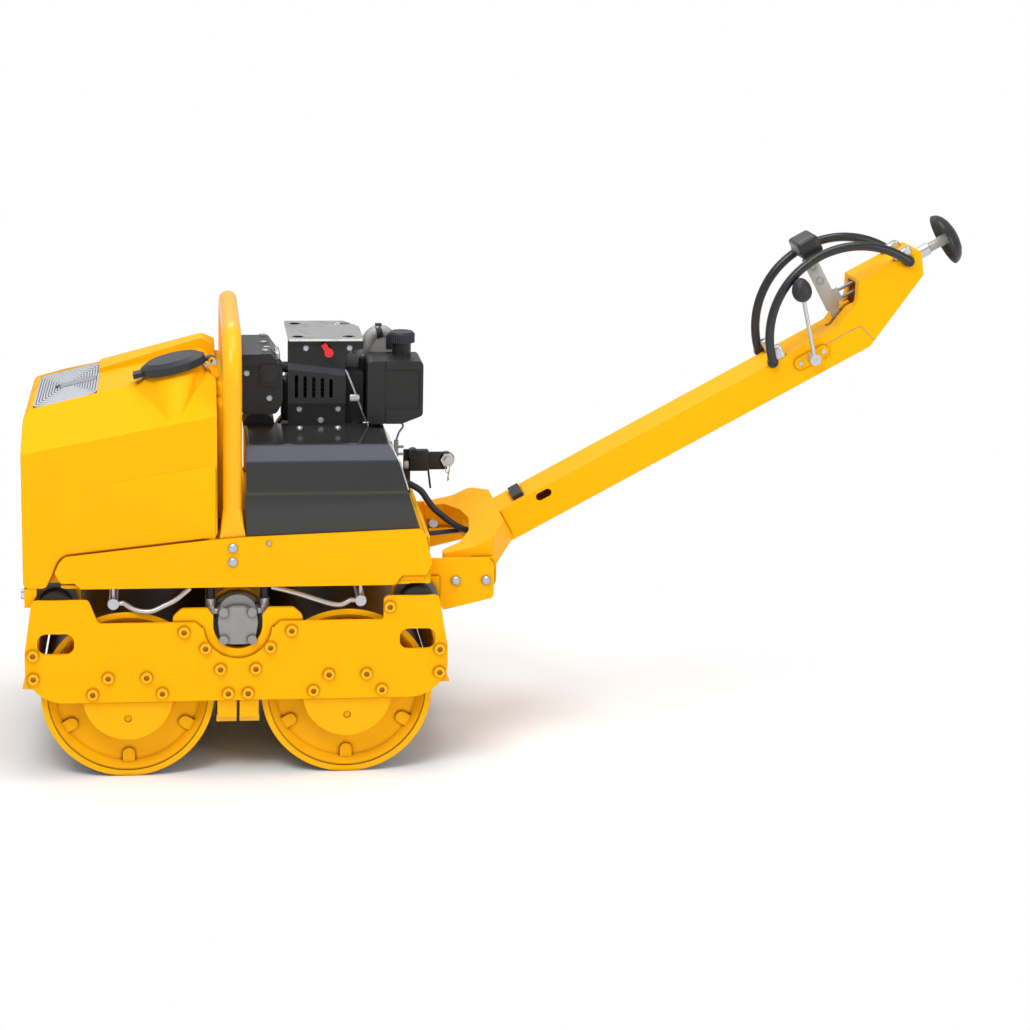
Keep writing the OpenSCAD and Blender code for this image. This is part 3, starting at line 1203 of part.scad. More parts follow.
// Transport lock: a bracket on the rear wall whose pin enters a slot of the folded beam
lock_slot = [115, 23];
lock_slot_size = [41, 20.4];
lock_pin_r = 9;
lock_pin_in = 9;
lock_travel = 9;
lock_y = [84, 92];
lock_end_r = 18;
lock_hex_r = 18;
lock_hex_t = 8;
lock_tip_y = 66.5;
lock_tail_y = 112;
lock_knob_r = 14;
lock_foot_x = 8;
lock_foot_y = 12;
lock_foot_z = [528, 586];
hump_at = [436, 670];
hump_r = 17;
lock_post = 18;
function on_folded(u, w) = let (x = beam_start + u * cos(beam_angle) - w * sin(beam_angle) - pivot_x,
  z = beam_z + u * sin(beam_angle) + w * cos(beam_angle) - pivot_z)
  [pivot_x + x * cos(fold_max) - z * sin(fold_max), pivot_z + x * sin(fold_max) + z * cos(fold_max)];
lock_at = on_folded(lock_slot[0] - lock_pin_in, lock_slot[1]);
module lock_bracket() color("darkslategray") place() {
  difference() {
    union() {
      y_rod(lock_end_r, lock_y[0], lock_y[1], lock_at[0], lock_at[1]);
      block([hump_at[0], lock_at[0]], lock_y, [lock_at[1] - lock_end_r / 2, lock_at[1] + lock_end_r / 2]);
      y_rod(hump_r, lock_y[0], lock_y[1], hump_at[0], hump_at[1]);
      block([hump_at[0] - lock_post / 2, hump_at[0] + lock_post / 2], lock_y, [wall_top, hump_at[1]]);
      block([wall_x + wall_t, wall_x + wall_t + lock_foot_x], lock_y, [wall_top, hump_at[1]]);
    }
    y_rod(lock_pin_r + run_fit, lock_y[0] - cut, lock_y[1] + cut, lock_at[0], lock_at[1]);
  }
  block([wall_x + wall_t, wall_x + wall_t + lock_foot_x], [lock_y[0] - lock_foot_y,
    lock_y[1] + lock_foot_y], lock_foot_z);
}
module lock_pin() color("silver") place() {
  y_rod(lock_pin_r, lock_tip_y, lock_tail_y, lock_at[0], lock_at[1]);
  y_rod(lock_hex_r, lock_y[0] - gap - lock_hex_t, lock_y[0] - gap, lock_at[0], lock_at[1], $fn = 6);
  y_rod(lock_knob_r, lock_tail_y, lock_tail_y + lock_hex_t, lock_at[0], lock_at[1]);
}

// Hoses from the engine bay into the drawbar
control_r = 8;
control_line_r = 6;
control_hose_points = [[300, -45, 650], [330, -45, 650], [360, -45, 650], [410, -46, 634], [432, -46, 624],
  [452, -46, 610], [466, -46, 590], [482, -45, 568], [504, -43, 548], [532, -40, 526], [560, -36, 510],
  [590, -30, 504], [620, -24, 506], [652, -20, 512]];
control_line_points = [[308, -62, 500], [344, -62, 500], [380, -62, 500], [420, -60, 503], [460, -56, 505],
  [510, -44, 506], [560, -16, 503], [610, 6, 500], [652, 12, 506]];
module control_hoses() color("dimgray") place() {
  hose(control_hose_points, control_r);
  hose(control_line_points, control_line_r);
}

// Drawbar root: a fork of bent sheet between the hitch cheeks
root_x = 488;
root_len = 202;
root_half = 247;
root_z = 468;
root_h = 94;
root_wall = 8;
root_plan_shares = [[1, -0.262, 0], [1, 0.262, 0], [0.92, 0.262, 0.05], [0.61, 0.93, 0.05], [0.55, 1, 0.05],
  [0, 1, 0], [0, 0.863, 0], [0.228, 0.726, 0.08], [0.376, 0.403, 0.2], [0.426, 0, 0.2],
  [0.376, -0.403, 0.2], [0.228, -0.726, 0.08], [0, -0.863, 0], [0, -1, 0], [0.55, -1, 0.05],
  [0.61, -0.93, 0.05], [0.92, -0.262, 0.05]];
beam_top = [beam_start - beam_h / 2 * sin(beam_angle), beam_z + beam_h / 2 * cos(beam_angle)];
beam_bottom = [beam_start + beam_h / 2 * sin(beam_angle), beam_z - beam_h / 2 * cos(beam_angle)];
root_side_shares = [[0.361, 0.6], [0, 0.43], [0, 0.06], [0.35, 0], [0.6, 0]];
lug_r = 26;
lug_up = 32;
root_mouth_half = 56;
root_mouth_z = [488, 516];
function root_plan() = rounded([for (s = root_plan_shares)
  [root_x + s[0] * root_len, s[1] * root_half, s[2] * root_len]]);
function root_side() = concat([beam_bottom, beam_top],
  [for (s = root_side_shares) [root_x + s[0] * root_len, root_z + s[1] * root_h]]);
module root_form(outline, drop) intersection() {
  translate([0, 0, root_z - root_h]) linear_extrude(height = 3 * root_h) polygon(outline);
  along_y(-root_half - cut, root_half + cut) translate([0, -drop]) polygon(root_side());
}
module lug_plate() difference() {
  along_y(-lug_y[1], -lug_y[0]) union() {
    translate([pivot_x, pivot_z]) circle(r = lug_r);
    polygon([[pivot_x - lug_r, pivot_z], [pivot_x, pivot_z - lug_r], [pivot_x + lug_r, pivot_z],
      [pivot_x + lug_r, root_z + lug_up], [pivot_x - lug_up, root_z + lug_up]]);
    polygon([[pivot_x, pivot_z - lug_r], [pivot_x, pivot_z - stop_bar_r - gap],
      [stop_x - stop_bar_r, pivot_z - stop_bar_r - gap], [stop_x - stop_bar_r, pivot_z - lug_r]]);
  }
  y_rod(stop_r, -lug_y[1] - cut, -lug_y[0] + cut, pivot_x, pivot_z);
}
module drawbar_root() color("gold") place() {
  difference() {
    root_form(root_plan(), 0);
    root_form(inset(root_plan(), root_wall), root_wall);
    block([pivot_x - lug_up, pivot_x + lug_r], [-root_mouth_half, root_mouth_half], root_mouth_z);
  }
  both_sides() lug_plate();
  both_sides() block([pivot_x - lug_up, pivot_x + lug_r / 2], [-lug_y[0] - cut, -root_half + root_wall],
    [root_z, root_z + lug_up]);
}

// Drawbar beam with its head, in the beam's frame
beam_shares = [[0, -1, 0], [1.03, -1, 0.3], [1.232, 1.35, 0.3], [1.254, 2.75, 0.2], [1.24, 2.94, 0],
  [1.078, 2.94, 0], [1.05, 1.75, 0.8], [1, 1.3, 0.3], [0.975, 1, 0.2], [0, 1, 0]];
function beam_points() = rounded([for (s = beam_shares) [s[0] * beam_len, s[1] * beam_h / 2,
  s[2] * beam_h / 2]]);
half_w = beam_w / 2;
lever_r = 8;
pivot_half = half_w - beam_wall / 2;
lever_slot = [-36, 46];
lever_slot_w = 18;
lever_slot_z = [20, 84];
mouth_u = [30, 118];
mouth_w = 72;
mouth_z = [64, 112];
hose_mouth = [106, 56];
button_r = 12;
sleeve_r = 16;
sleeve_u = [1186, 1234];
button_shaft_u = 1172;
module drawbar_beam() color("gold") place() on_beam() difference() {
  along_y(-half_w, half_w) polygon(beam_points());
  along_y(-half_w + beam_wall, half_w - beam_wall) polygon(inset(beam_points(), beam_wall));
  block([-cut, beam_wall + cut], [-hose_mouth[0] / 2, hose_mouth[0] / 2],
    [-hose_mouth[1] / 2, hose_mouth[1] / 2]);
  block([beam_len + lever_slot[0], beam_len + lever_slot[1]], [-lever_slot_w / 2, lever_slot_w / 2],
    lever_slot_z);
  block([beam_len + mouth_u[0], beam_len + mouth_u[1]], [-mouth_w / 2, mouth_w / 2], mouth_z);
  along_y(-half_w - cut, half_w + cut) translate(lock_slot)
    polygon(pad(lock_slot_size[0], lock_slot_size[1], lock_slot_size[1] / 2.04));
  y_rod(lever_r, -pivot_half, pivot_half, beam_len, 0);
  x_rod(sleeve_r + run_fit, sleeve_u[0] - cut, sleeve_u[1], 0, button_w);
}

// Rubber stop, throttle base and post, and the screws and sleeve of the drawbar
pad_u = [44, 72];
pad_half = 45;
pad_h = 10;
throttle_at = [849.5, 6.6];
throttle_y = 98;
throttle_hub_r = 13.5;
throttle_hub_y = [88, 108];
throttle_pin_r = 5;
base_size = [92, 30];
base_t = 5;
screw_r = 6;
screw_h = 4;
base_screw = 31;
beam_screw_u = [30, 340, 700, 965];
beam_screw_y = 48;
module drawbar_trim() color("darkslategray") place() on_beam() {
  block(pad_u, [-pad_half, pad_half], [beam_h / 2, beam_h / 2 + pad_h]);
  difference() {
    along_y(-half_w - base_t, -half_w) translate(throttle_at)
      polygon(pad(base_size[0], base_size[1], base_size[1] / 2.1));
    for (s = [-1, 1]) y_rod(screw_r / 2, -half_w - base_t - cut, -half_w + cut,
      throttle_at[0] + s * base_screw, throttle_at[1]);
  }
  y_rod(throttle_hub_r, -throttle_hub_y[0] + gap, -half_w - base_t, throttle_at[0], throttle_at[1]);
  y_rod(throttle_pin_r, -throttle_hub_y[1], -half_w - base_t, throttle_at[0], throttle_at[1]);
}
module drawbar_screws() color("silver") place() on_beam() {
  for (s = [-1, 1]) {
    y_rod(screw_r, -half_w - base_t - screw_h, -half_w - base_t, throttle_at[0] + s * base_screw,
      throttle_at[1]);
    y_rod(screw_r / 2 - run_fit, -half_w - base_t - screw_h / 2, -half_w,
      throttle_at[0] + s * base_screw, throttle_at[1]);
  }
  for (u = beam_screw_u) for (s = [-1, 1]) translate([u, s * beam_screw_y, -beam_h / 2 - screw_h])
    cylinder(r = screw_r, h = screw_h);
  difference() {
    x_rod(sleeve_r, sleeve_u[0], sleeve_u[1], 0, button_w);
    x_rod(button_r + run_fit, sleeve_u[0] - cut, sleeve_u[1] + cut, 0, button_w);
  }
}
hoop_y = 77;
hoop_u = 971;
hoop_w = 7;
hoop_from = 27;
hoop_turn = 143;
hoop_foot_r = 13;
module hand_hoops() color("darkslategray") place() on_beam() both_sides() {
  translate([hoop_u, -hoop_y, hoop_w]) rotate([90, 0, 0]) rotate([0, 0, hoop_from])
    rotate_extrude(angle = hoop_turn) translate([hoop_r, 0]) circle(r = hoop_d / 2);
  for (a = [hoop_from, hoop_from + hoop_turn])
    y_rod(hoop_foot_r, -hoop_y - cut, -half_w, hoop_u + hoop_r * cos(a), hoop_w + hoop_r * sin(a));
}

// Travel lever with its grip
lever_w = 23;
lever_t = 10;
lever_top = 236;
lever_boss_r = 18;
lever_boss_t = 16;
lug_size = [30, 33];
lug_low = 80;
rod_r = 4;
rod_w = [85, 106];
rod_u = [26, 66, 78];
grip_size = [44, 38, 9];
grip_half = 50;
grip_at = [8, 246];
grip_deep = 200;
module travel_lever() color("lightgray") place() on_beam() translate([beam_len, 0, 0]) {
  y_rod(lever_r - run_fit, gap - pivot_half, pivot_half - gap);
  y_rod(lever_boss_r, -lever_boss_t / 2, lever_boss_t / 2);
  block([-lever_w / 2, lever_w / 2], [-lever_t / 2, lever_t / 2], [0, lever_top]);
  block([0, lug_size[0]], [-lever_t / 2, lever_t / 2], [lug_low, lug_low + lug_size[1]]);
  for (i = [0, 1]) x_rod(rod_r, rod_u[0], rod_u[i + 1], 0, rod_w[i]);
}
module lever_grip() color("darkslategray") place() on_beam() translate([beam_len, 0, 0]) difference() {
  along_y(-grip_half, grip_half) translate(grip_at) polygon(pad(grip_size[0], grip_size[1], grip_size[2]));
  block([-lever_w / 2, lever_w / 2], [-lever_t / 2, lever_t / 2], [grip_deep, lever_top]);
}

// Throttle lever with an egg shaped knob
throttle_lean = 15.3;
throttle_len = 176;
throttle_rod_r = 5;
knob_len = 60;
knob_r = 24;
knob_steps = 16;
knob_skew_share = 0.12;
function egg(n) = [for (i = [0 : n]) let (a = 180 * i / n)
  [knob_r * sin(a) * (1 + knob_skew_share * cos(a)), -knob_len / 2 * cos(a)]];
module throttle_lever() color("darkslategray") place() on_beam()
  translate([throttle_at[0], 0, throttle_at[1]]) {
  y_ring(throttle_hub_r, throttle_pin_r + run_fit, -throttle_hub_y[1], -throttle_hub_y[0]);
  translate([0, -throttle_y, 0]) rotate([0, throttle_lean, 0]) {
    translate([0, 0, throttle_hub_r - cut]) cylinder(r = throttle_rod_r, h = throttle_len - throttle_hub_r);
    translate([0, 0, throttle_len]) rotate_extrude() polygon(egg(knob_steps));
  }
}

// Stop button: a mushroom cap on a shaft that slides in the head
button_shares = [[0, 0], [0.24, 0], [0.52, 0.15], [0.82, 0.4], [0.95, 0.6], [1, 0.76], [1, 0.92],
  [0.955, 1], [0, 1]];
module stop_button() color("darkslategray") place() on_beam() {
  translate([button_u - button_cap_t, 0, button_w]) rotate([0, 90, 0]) rotate_extrude()
    polygon([for (s = button_shares) [s[0] * button_d / 2, s[1] * button_cap_t]]);
  x_rod(button_r, button_shaft_u, button_u - button_cap_t + cut, 0, button_w);
}

side_plate_left();
side_plate_right();
side_plate_bolts();
end_scrapers();
centre_housing();
drum_scraper_bars();
axle_hubs();
bearings();
exciter_shaft();
exciter_motor();
travel_motor();
motor_fittings();
motor_hoses();
gear_cover();
drive_pinion();
front_idler_gear();
rear_idler_gear();
front_drum_shell();
front_drum_discs();
front_ring_gear();
rear_drum_shell();
rear_drum_discs();
rear_ring_gear();
spray_bars();
spray_pipes();
rubber_buffers();
buffer_plates();
rail_left();
rail_right();
upper_frame();
hitch_cheeks();
lifting_bow();
frame_bolts();
water_tank();
ribbed_panel();
water_cap();
engine_cover();
engine_block();
engine_shroud();
engine_top_cover();
air_cleaner();
intake_elbow();
fuel_tank();
fuel_cap();
decompression_lever();
flywheel();
hydraulic_pump();
hydraulic_tank();
lock_bracket();
lock_pin();
control_hoses();
drawbar_root();
drawbar_beam();
drawbar_trim();
drawbar_screws();
hand_hoops();
travel_lever();
lever_grip();
throttle_lever();
stop_button();
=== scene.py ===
# %% [markdown]
# # Walk behind vibratory roller
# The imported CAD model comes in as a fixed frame, and this script dresses it.
# The steel work, the gears and the engine's housings keep their CAD meshes and get materials here.
# The pieces whose look needs more than a plain solid, such as the moulded hood and its ribbed panel,
# the rubber buffers and the hoses, are modelled again as finer meshes in the same place.

# %% Load the frame and keep its box
import bpy, bmesh, json, math
from mathutils import Vector, Matrix
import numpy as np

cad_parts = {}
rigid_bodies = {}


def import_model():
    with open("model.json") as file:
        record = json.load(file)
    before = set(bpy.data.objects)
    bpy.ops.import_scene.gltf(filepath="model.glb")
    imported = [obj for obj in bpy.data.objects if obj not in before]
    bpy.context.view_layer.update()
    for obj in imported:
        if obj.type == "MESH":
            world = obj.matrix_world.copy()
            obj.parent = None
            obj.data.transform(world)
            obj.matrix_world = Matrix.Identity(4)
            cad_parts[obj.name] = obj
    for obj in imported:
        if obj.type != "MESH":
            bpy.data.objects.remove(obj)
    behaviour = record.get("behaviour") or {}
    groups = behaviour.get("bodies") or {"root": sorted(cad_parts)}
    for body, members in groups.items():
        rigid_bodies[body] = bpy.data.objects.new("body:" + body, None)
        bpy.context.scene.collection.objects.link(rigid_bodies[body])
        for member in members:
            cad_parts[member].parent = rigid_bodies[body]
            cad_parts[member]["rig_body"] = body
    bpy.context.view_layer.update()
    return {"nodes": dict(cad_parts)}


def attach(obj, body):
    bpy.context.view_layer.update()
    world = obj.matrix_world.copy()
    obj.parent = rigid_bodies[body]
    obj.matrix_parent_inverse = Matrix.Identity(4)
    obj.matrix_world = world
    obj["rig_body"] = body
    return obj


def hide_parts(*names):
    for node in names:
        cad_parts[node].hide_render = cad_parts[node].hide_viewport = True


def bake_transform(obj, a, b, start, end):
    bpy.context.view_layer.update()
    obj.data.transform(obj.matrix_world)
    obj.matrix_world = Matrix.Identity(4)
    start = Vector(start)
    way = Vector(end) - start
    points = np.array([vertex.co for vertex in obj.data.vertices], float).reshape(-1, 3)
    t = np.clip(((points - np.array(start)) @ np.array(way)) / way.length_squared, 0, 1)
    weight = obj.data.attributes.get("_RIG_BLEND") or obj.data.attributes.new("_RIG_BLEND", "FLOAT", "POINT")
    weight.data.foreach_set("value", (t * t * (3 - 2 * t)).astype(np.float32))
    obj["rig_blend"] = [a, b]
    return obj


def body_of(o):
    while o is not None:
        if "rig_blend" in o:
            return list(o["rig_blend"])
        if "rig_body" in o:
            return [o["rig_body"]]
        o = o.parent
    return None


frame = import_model()

# %% [markdown]
# ## Places
# The CAD source works in millimetres from the middle between the drums, and the frame's origin lies
# in the middle of the whole machine, so every place here is shifted by the same amount along X.

# %% Places in the frame
MID_X = -0.6431308
BEAM_ANGLE = math.radians(28.8)


def mm(x, y, z):
    """A place given in millimetres from the middle between the drums, in the frame's metres."""
    return Vector((x / 1000 + MID_X, y / 1000, z / 1000))


def on_beam(u, y, w):
    """A place on the drawbar: u runs up the beam, w stands square to it."""
    return mm(661 + u * math.cos(BEAM_ANGLE) - w * math.sin(BEAM_ANGLE), y,
              527 + u * math.sin(BEAM_ANGLE) + w * math.cos(BEAM_ANGLE))


print("drawbar pivot", [round(v, 4) for v in mm(586, 0, 450)])

# %% [markdown]
# ## Camera
# The photograph was taken from the operator's left with a long lens, a little above the machine.
# The camera stands where a least squares fit of about a hundred points of the model puts it. A small
# shift of the lens keeps the verticals closer to upright than turning the camera alone would.

# %% Camera at the photograph's angle
IMAGE_SIZE = 1030


def aim_camera(place, yaw, pitch, roll, focal_pixels, shift):
    data = bpy.data.cameras.new("studio_camera")
    data.sensor_width = 36.0
    data.lens = focal_pixels / IMAGE_SIZE * data.sensor_width
    data.shift_x, data.shift_y = shift
    data.clip_start, data.clip_end = 0.1, 60.0
    camera = bpy.data.objects.new("studio_camera", data)
    bpy.context.collection.objects.link(camera)
    turn = (Matrix.Rotation(-math.radians(yaw), 4, "Z")
            @ Matrix.Rotation(math.radians(90 - pitch), 4, "X")
            @ Matrix.Rotation(math.radians(roll), 4, "Z"))
    camera.matrix_world = Matrix.Translation(place) @ turn
    bpy.context.scene.camera = camera
    return camera


camera = aim_camera(place=mm(-120.8, -5825, 2078.4), yaw=6.395, pitch=12.334, roll=0.965,
                    focal_pixels=2459.3, shift=(0.06, -0.10))
print("lens", round(camera.data.lens, 1), "mm at", [round(v, 3) for v in camera.location])

# %% [markdown]
# ## Helpers for node trees
# Three small steps return in every material: joining two values, taking a value from one range to
# another, and mixing two colours.

# %% Node helpers
def combine(tree, operation, first, second):
    node = tree.nodes.new("ShaderNodeMath")
    node.operation = operation
    tree.links.new(first, node.inputs[0])
    tree.links.new(second, node.inputs[1])
    return node.outputs[0]


def ranged(tree, value, low, high, to_low=0.0, to_high=1.0):
    node = tree.nodes.new("ShaderNodeMapRange")
    for label, number in (("From Min", low), ("From Max", high),
                          ("To Min", to_low), ("To Max", to_high)):
        node.inputs[label].default_value = number
    tree.links.new(value, node.inputs["Value"])
    return node


def mixed(tree, share, first, second):
    """Each of the two colours is a socket or a plain colour."""
    node = tree.nodes.new("ShaderNodeMix")
    node.data_type = "RGBA"
    tree.links.new(share, node.inputs[0])
    for socket, color in ((node.inputs[6], first), (node.inputs[7], second)):
        if isinstance(color, tuple):
            socket.default_value = (*color, 1)
        else:
            tree.links.new(color, socket)
    return node.outputs[2]


print("node helpers ready")

# %% [markdown]
# ## Floor and light
# The photograph stands on pure white with a soft shadow under the machine. Near the machine the floor
# is a plain diffuse surface that takes this shadow, and further out it turns into plain white for the
# camera and for reflections, so that no horizon shows. A large area lamp stands above the camera's
# left, others fill from the right, the back and above, and the world gives the plain level.

# %% Floor that fades to white
FLOOR_HALF, FADE_START, FADE_END = 14.0, 0.62, 1.25
FADE_SHIFT, FADE_SCALE = (0.36, 0.0, 0.0), (0.8, 1.0, 1.0)


def pale_floor(name, near, far):
    """Diffuse near the machine and plain white far away, with the fade on the floor's own place."""
    material = bpy.data.materials.new(name)
    material.use_nodes = True
    tree = material.node_tree
    nodes, links = tree.nodes, tree.links
    nodes.clear()
    out = nodes.new("ShaderNodeOutputMaterial")
    plain = nodes.new("ShaderNodeBsdfDiffuse")
    plain.inputs["Color"].default_value = (0.95, 0.95, 0.95, 1)
    white = nodes.new("ShaderNodeEmission")
    place = nodes.new("ShaderNodeTexCoord")
    oval = nodes.new("ShaderNodeMapping")
    oval.inputs["Location"].default_value = FADE_SHIFT
    oval.inputs["Scale"].default_value = FADE_SCALE
    reach = nodes.new("ShaderNodeVectorMath")
    reach.operation = "LENGTH"
    links.new(place.outputs["Object"], oval.inputs["Vector"])
    links.new(oval.outputs["Vector"], reach.inputs[0])
    fade = ranged(tree, reach.outputs["Value"], near, far)
    fade.interpolation_type = "SMOOTHSTEP"
    ray = nodes.new("ShaderNodeLightPath")
    seen = ray.outputs["Is Camera Ray"]
    for other in ("Is Glossy Ray", "Is Transmission Ray"):
        seen = combine(tree, "MAXIMUM", seen, ray.outputs[other])
    mix = nodes.new("ShaderNodeMixShader")
    links.new(combine(tree, "MULTIPLY", fade.outputs["Result"], seen), mix.inputs["Fac"])
    links.new(plain.outputs[0], mix.inputs[1])
    links.new(white.outputs[0], mix.inputs[2])
    links.new(mix.outputs[0], out.inputs["Surface"])
    return material


def add_floor():
    bm = bmesh.new()
    bmesh.ops.create_grid(bm, x_segments=1, y_segments=1, size=FLOOR_HALF)
    mesh = bpy.data.meshes.new("studio_floor")
    bm.to_mesh(mesh)
    bm.free()
    floor = bpy.data.objects.new("studio_floor", mesh)
    bpy.context.collection.objects.link(floor)
    mesh.materials.append(pale_floor("floor_white", FADE_START, FADE_END))
    return floor


floor = add_floor()
print("floor", floor.name)

# %% Lamps
def add_area_lamp(name, place, target, size, power):
    data = bpy.data.lights.new(name, "AREA")
    data.shape, data.size, data.size_y, data.energy = "RECTANGLE", size[0], size[1], power
    lamp = bpy.data.objects.new(name, data)
    bpy.context.collection.objects.link(lamp)
    lamp.location = place
    lamp.rotation_euler = (Vector(target) - Vector(place)).to_track_quat("-Z", "Y").to_euler()
    return lamp


lamps = [
    add_area_lamp("key_softbox", (-2.0, -3.0, 4.8), (-0.2, 0, 0.4), (2.2, 2.0), 125),
    add_area_lamp("fill_softbox", (3.2, -3.4, 1.8), (0, 0, 0.5), (2.2, 2.2), 40),
    add_area_lamp("back_softbox", (-1.0, 4.2, 4.6), (-0.2, 0, 0.6), (3.0, 1.6), 60),
    add_area_lamp("top_softbox", (0.3, -0.6, 5.2), (0.1, 0, 0.5), (3.0, 2.4), 95),
]
print("lamps", [lamp.name for lamp in lamps])

# %% World light
world = bpy.data.worlds.new("white_studio")
bpy.context.scene.world = world
world.use_nodes = True
world_nodes, world_links = world.node_tree.nodes, world.node_tree.links
world_nodes.clear()
world_out = world_nodes.new("ShaderNodeOutputWorld")
world_mix = world_nodes.new("ShaderNodeMixShader")
world_plain = world_nodes.new("ShaderNodeBackground")
world_plain.inputs["Color"].default_value = (0.97, 0.98, 1.0, 1)
world_plain.inputs["Strength"].default_value = 0.52
world_white = world_nodes.new("ShaderNodeBackground")
world_white.inputs["Color"].default_value = (1, 1, 1, 1)
world_white.inputs["Strength"].default_value = 1.0
ray = world_nodes.new("ShaderNodeLightPath")
world_links.new(ray.outputs["Is Camera Ray"], world_mix.inputs["Fac"])
world_links.new(world_plain.outputs[0], world_mix.inputs[1])
world_links.new(world_white.outputs[0], world_mix.inputs[2])
world_links.new(world_mix.outputs[0], world_out.inputs["Surface"])
bpy.context.scene.view_settings.view_transform = "Standard"
print("world strength", world_plain.inputs["Strength"].default_value)

# %% [markdown]
# ## Shared effects
# Two effects return in many materials: grain, both fine and broad, and dust low on the machine. Each
# is one node group, which puts out masks only, and each material gives it its own sizes.

# %% Node group: grain
def new_group(name, inputs, outputs):
    group = bpy.data.node_groups.new(name, "ShaderNodeTree")
    for label, kind, value in inputs:
        socket = group.interface.new_socket(name=label, in_out="INPUT", socket_type=kind)
        socket.default_value = value
    for label, kind in outputs:
        group.interface.new_socket(name=label, in_out="OUTPUT", socket_type=kind)
    return group, group.nodes.new("NodeGroupInput"), group.nodes.new("NodeGroupOutput")


def build_grain():
    group, into, out = new_group("surface_grain",
        [("Scale", "NodeSocketFloat", 400.0), ("Broad Scale", "NodeSocketFloat", 6.0)],
        [("Fine", "NodeSocketFloat"), ("Broad", "NodeSocketFloat")])
    nodes, links = group.nodes, group.links
    place = nodes.new("ShaderNodeTexCoord")
    for label, socket, detail in (("Fine", "Scale", 3.0), ("Broad", "Broad Scale", 2.0)):
        noise = nodes.new("ShaderNodeTexNoise")
        noise.inputs["Detail"].default_value = detail
        links.new(place.outputs["Object"], noise.inputs["Vector"])
        links.new(into.outputs[socket], noise.inputs["Scale"])
        links.new(noise.outputs["Fac"], out.inputs[label])
    return group


GRAIN = build_grain()
print("group", GRAIN.name)

# %% Node group: dust and dirt low on the machine
def build_dust():
    group, into, out = new_group("low_dust",
        [("Height", "NodeSocketFloat", 0.25), ("Amount", "NodeSocketFloat", 0.3)],
        [("Mask", "NodeSocketFloat")])
    nodes, links = group.nodes, group.links
    place = nodes.new("ShaderNodeTexCoord")
    split = nodes.new("ShaderNodeSeparateXYZ")
    links.new(place.outputs["Object"], split.inputs[0])
    low = ranged(group, split.outputs["Z"], 0.0, 1.0, 1.0, 0.0)
    links.new(into.outputs["Height"], low.inputs["From Max"])
    noise = nodes.new("ShaderNodeTexNoise")
    noise.inputs["Scale"].default_value = 9.0
    noise.inputs["Detail"].default_value = 6.0
    links.new(place.outputs["Object"], noise.inputs["Vector"])
    patchy = combine(group, "MULTIPLY", low.outputs["Result"], noise.outputs["Fac"])
    links.new(combine(group, "MULTIPLY", patchy, into.outputs["Amount"]), out.inputs["Mask"])
    return group


DUST = build_dust()
print("group", DUST.name)

# %% [markdown]
# ## A finish from the groups
# Every rigid finish is built the same way: a base colour that shifts a little over the surface, dust
# that dulls it near the ground, and a bump from the fine grain. Pressed and painted steel never has knife
# sharp edges, so a bevel node rounds every edge by about a millimetre in the shading. Where a finish
# has a corner colour, an ambient occlusion node darkens the colour in corners, creases and seams: this
# is painted shade, and it draws the fine dark outline around bolts and seams. Constant values, such as
# the coat, sit on the shader's own sockets.

# %% Finish builder
DUST_COLOR = (0.42, 0.36, 0.27)
CORNER_REACH, CORNER_SHADE, CORNER_BAND = 0.009, (0.45, 0.92), 0.03
GRAIN_DEPTH = 0.002


def finish(name, color, roughness, metallic=0.0, coat=0.0, coat_roughness=0.1, grain=400.0, bump=0.02,
           variation=0.06, dust=0.0, dust_height=0.25, specular=0.5, corner_shade_color=None, corner_shade_below=None,
           edge_mm=0.9):
    material = bpy.data.materials.new(name)
    material.use_nodes = True
    tree = material.node_tree
    nodes, links = tree.nodes, tree.links
    shader = nodes["Principled BSDF"]
    for label, value in (("Metallic", metallic), ("Coat Weight", coat),
                         ("Coat Roughness", coat_roughness), ("Specular IOR Level", specular)):
        shader.inputs[label].default_value = value
    material.diffuse_color = (*color, 1)

    grains = nodes.new("ShaderNodeGroup")
    grains.node_tree = GRAIN
    grains.inputs["Scale"].default_value = grain
    last = mixed(tree, grains.outputs["Broad"], tuple(max(c * (1 - variation), 0) for c in color),
                 tuple(min(c * (1 + variation), 1) for c in color))
    if dust > 0:
        mask = nodes.new("ShaderNodeGroup")
        mask.node_tree = DUST
        mask.inputs["Height"].default_value = dust_height
        mask.inputs["Amount"].default_value = dust
        last = mixed(tree, mask.outputs["Mask"], last, DUST_COLOR)
    # Painted shade: an ambient occlusion node darkens the colour towards the corner colour in corners,
    # creases and seams, and only below the given height when one is set.
    if corner_shade_color:
        corner_occlusion = nodes.new("ShaderNodeAmbientOcclusion")
        corner_occlusion.samples = 6
        corner_occlusion.inputs["Distance"].default_value = CORNER_REACH
        clear = ranged(tree, corner_occlusion.outputs["AO"], *CORNER_SHADE).outputs["Result"]
        if corner_shade_below:
            place = nodes.new("ShaderNodeTexCoord")
            split = nodes.new("ShaderNodeSeparateXYZ")
            links.new(place.outputs["Object"], split.inputs[0])
            high = ranged(tree, split.outputs["Z"], corner_shade_below - CORNER_BAND, corner_shade_below)
            clear = combine(tree, "MAXIMUM", clear, high.outputs["Result"])
        last = mixed(tree, clear, corner_shade_color, last)
    links.new(last, shader.inputs["Base Color"])

    rough = ranged(tree, grains.outputs["Broad"], 0.0, 1.0, max(roughness - 0.06, 0.02),
                   min(roughness + 0.08, 1.0))
    links.new(rough.outputs["Result"], shader.inputs["Roughness"])
    relief = nodes.new("ShaderNodeBump")
    relief.inputs["Strength"].default_value = bump
    relief.inputs["Distance"].default_value = GRAIN_DEPTH
    links.new(grains.outputs["Fine"], relief.inputs["Height"])
    if edge_mm > 0:
        rounded = nodes.new("ShaderNodeBevel")
        rounded.samples = 4
        rounded.inputs["Radius"].default_value = edge_mm / 1000
        links.new(rounded.outputs["Normal"], relief.inputs["Normal"])
    links.new(relief.outputs["Normal"], shader.inputs["Normal"])
    return material


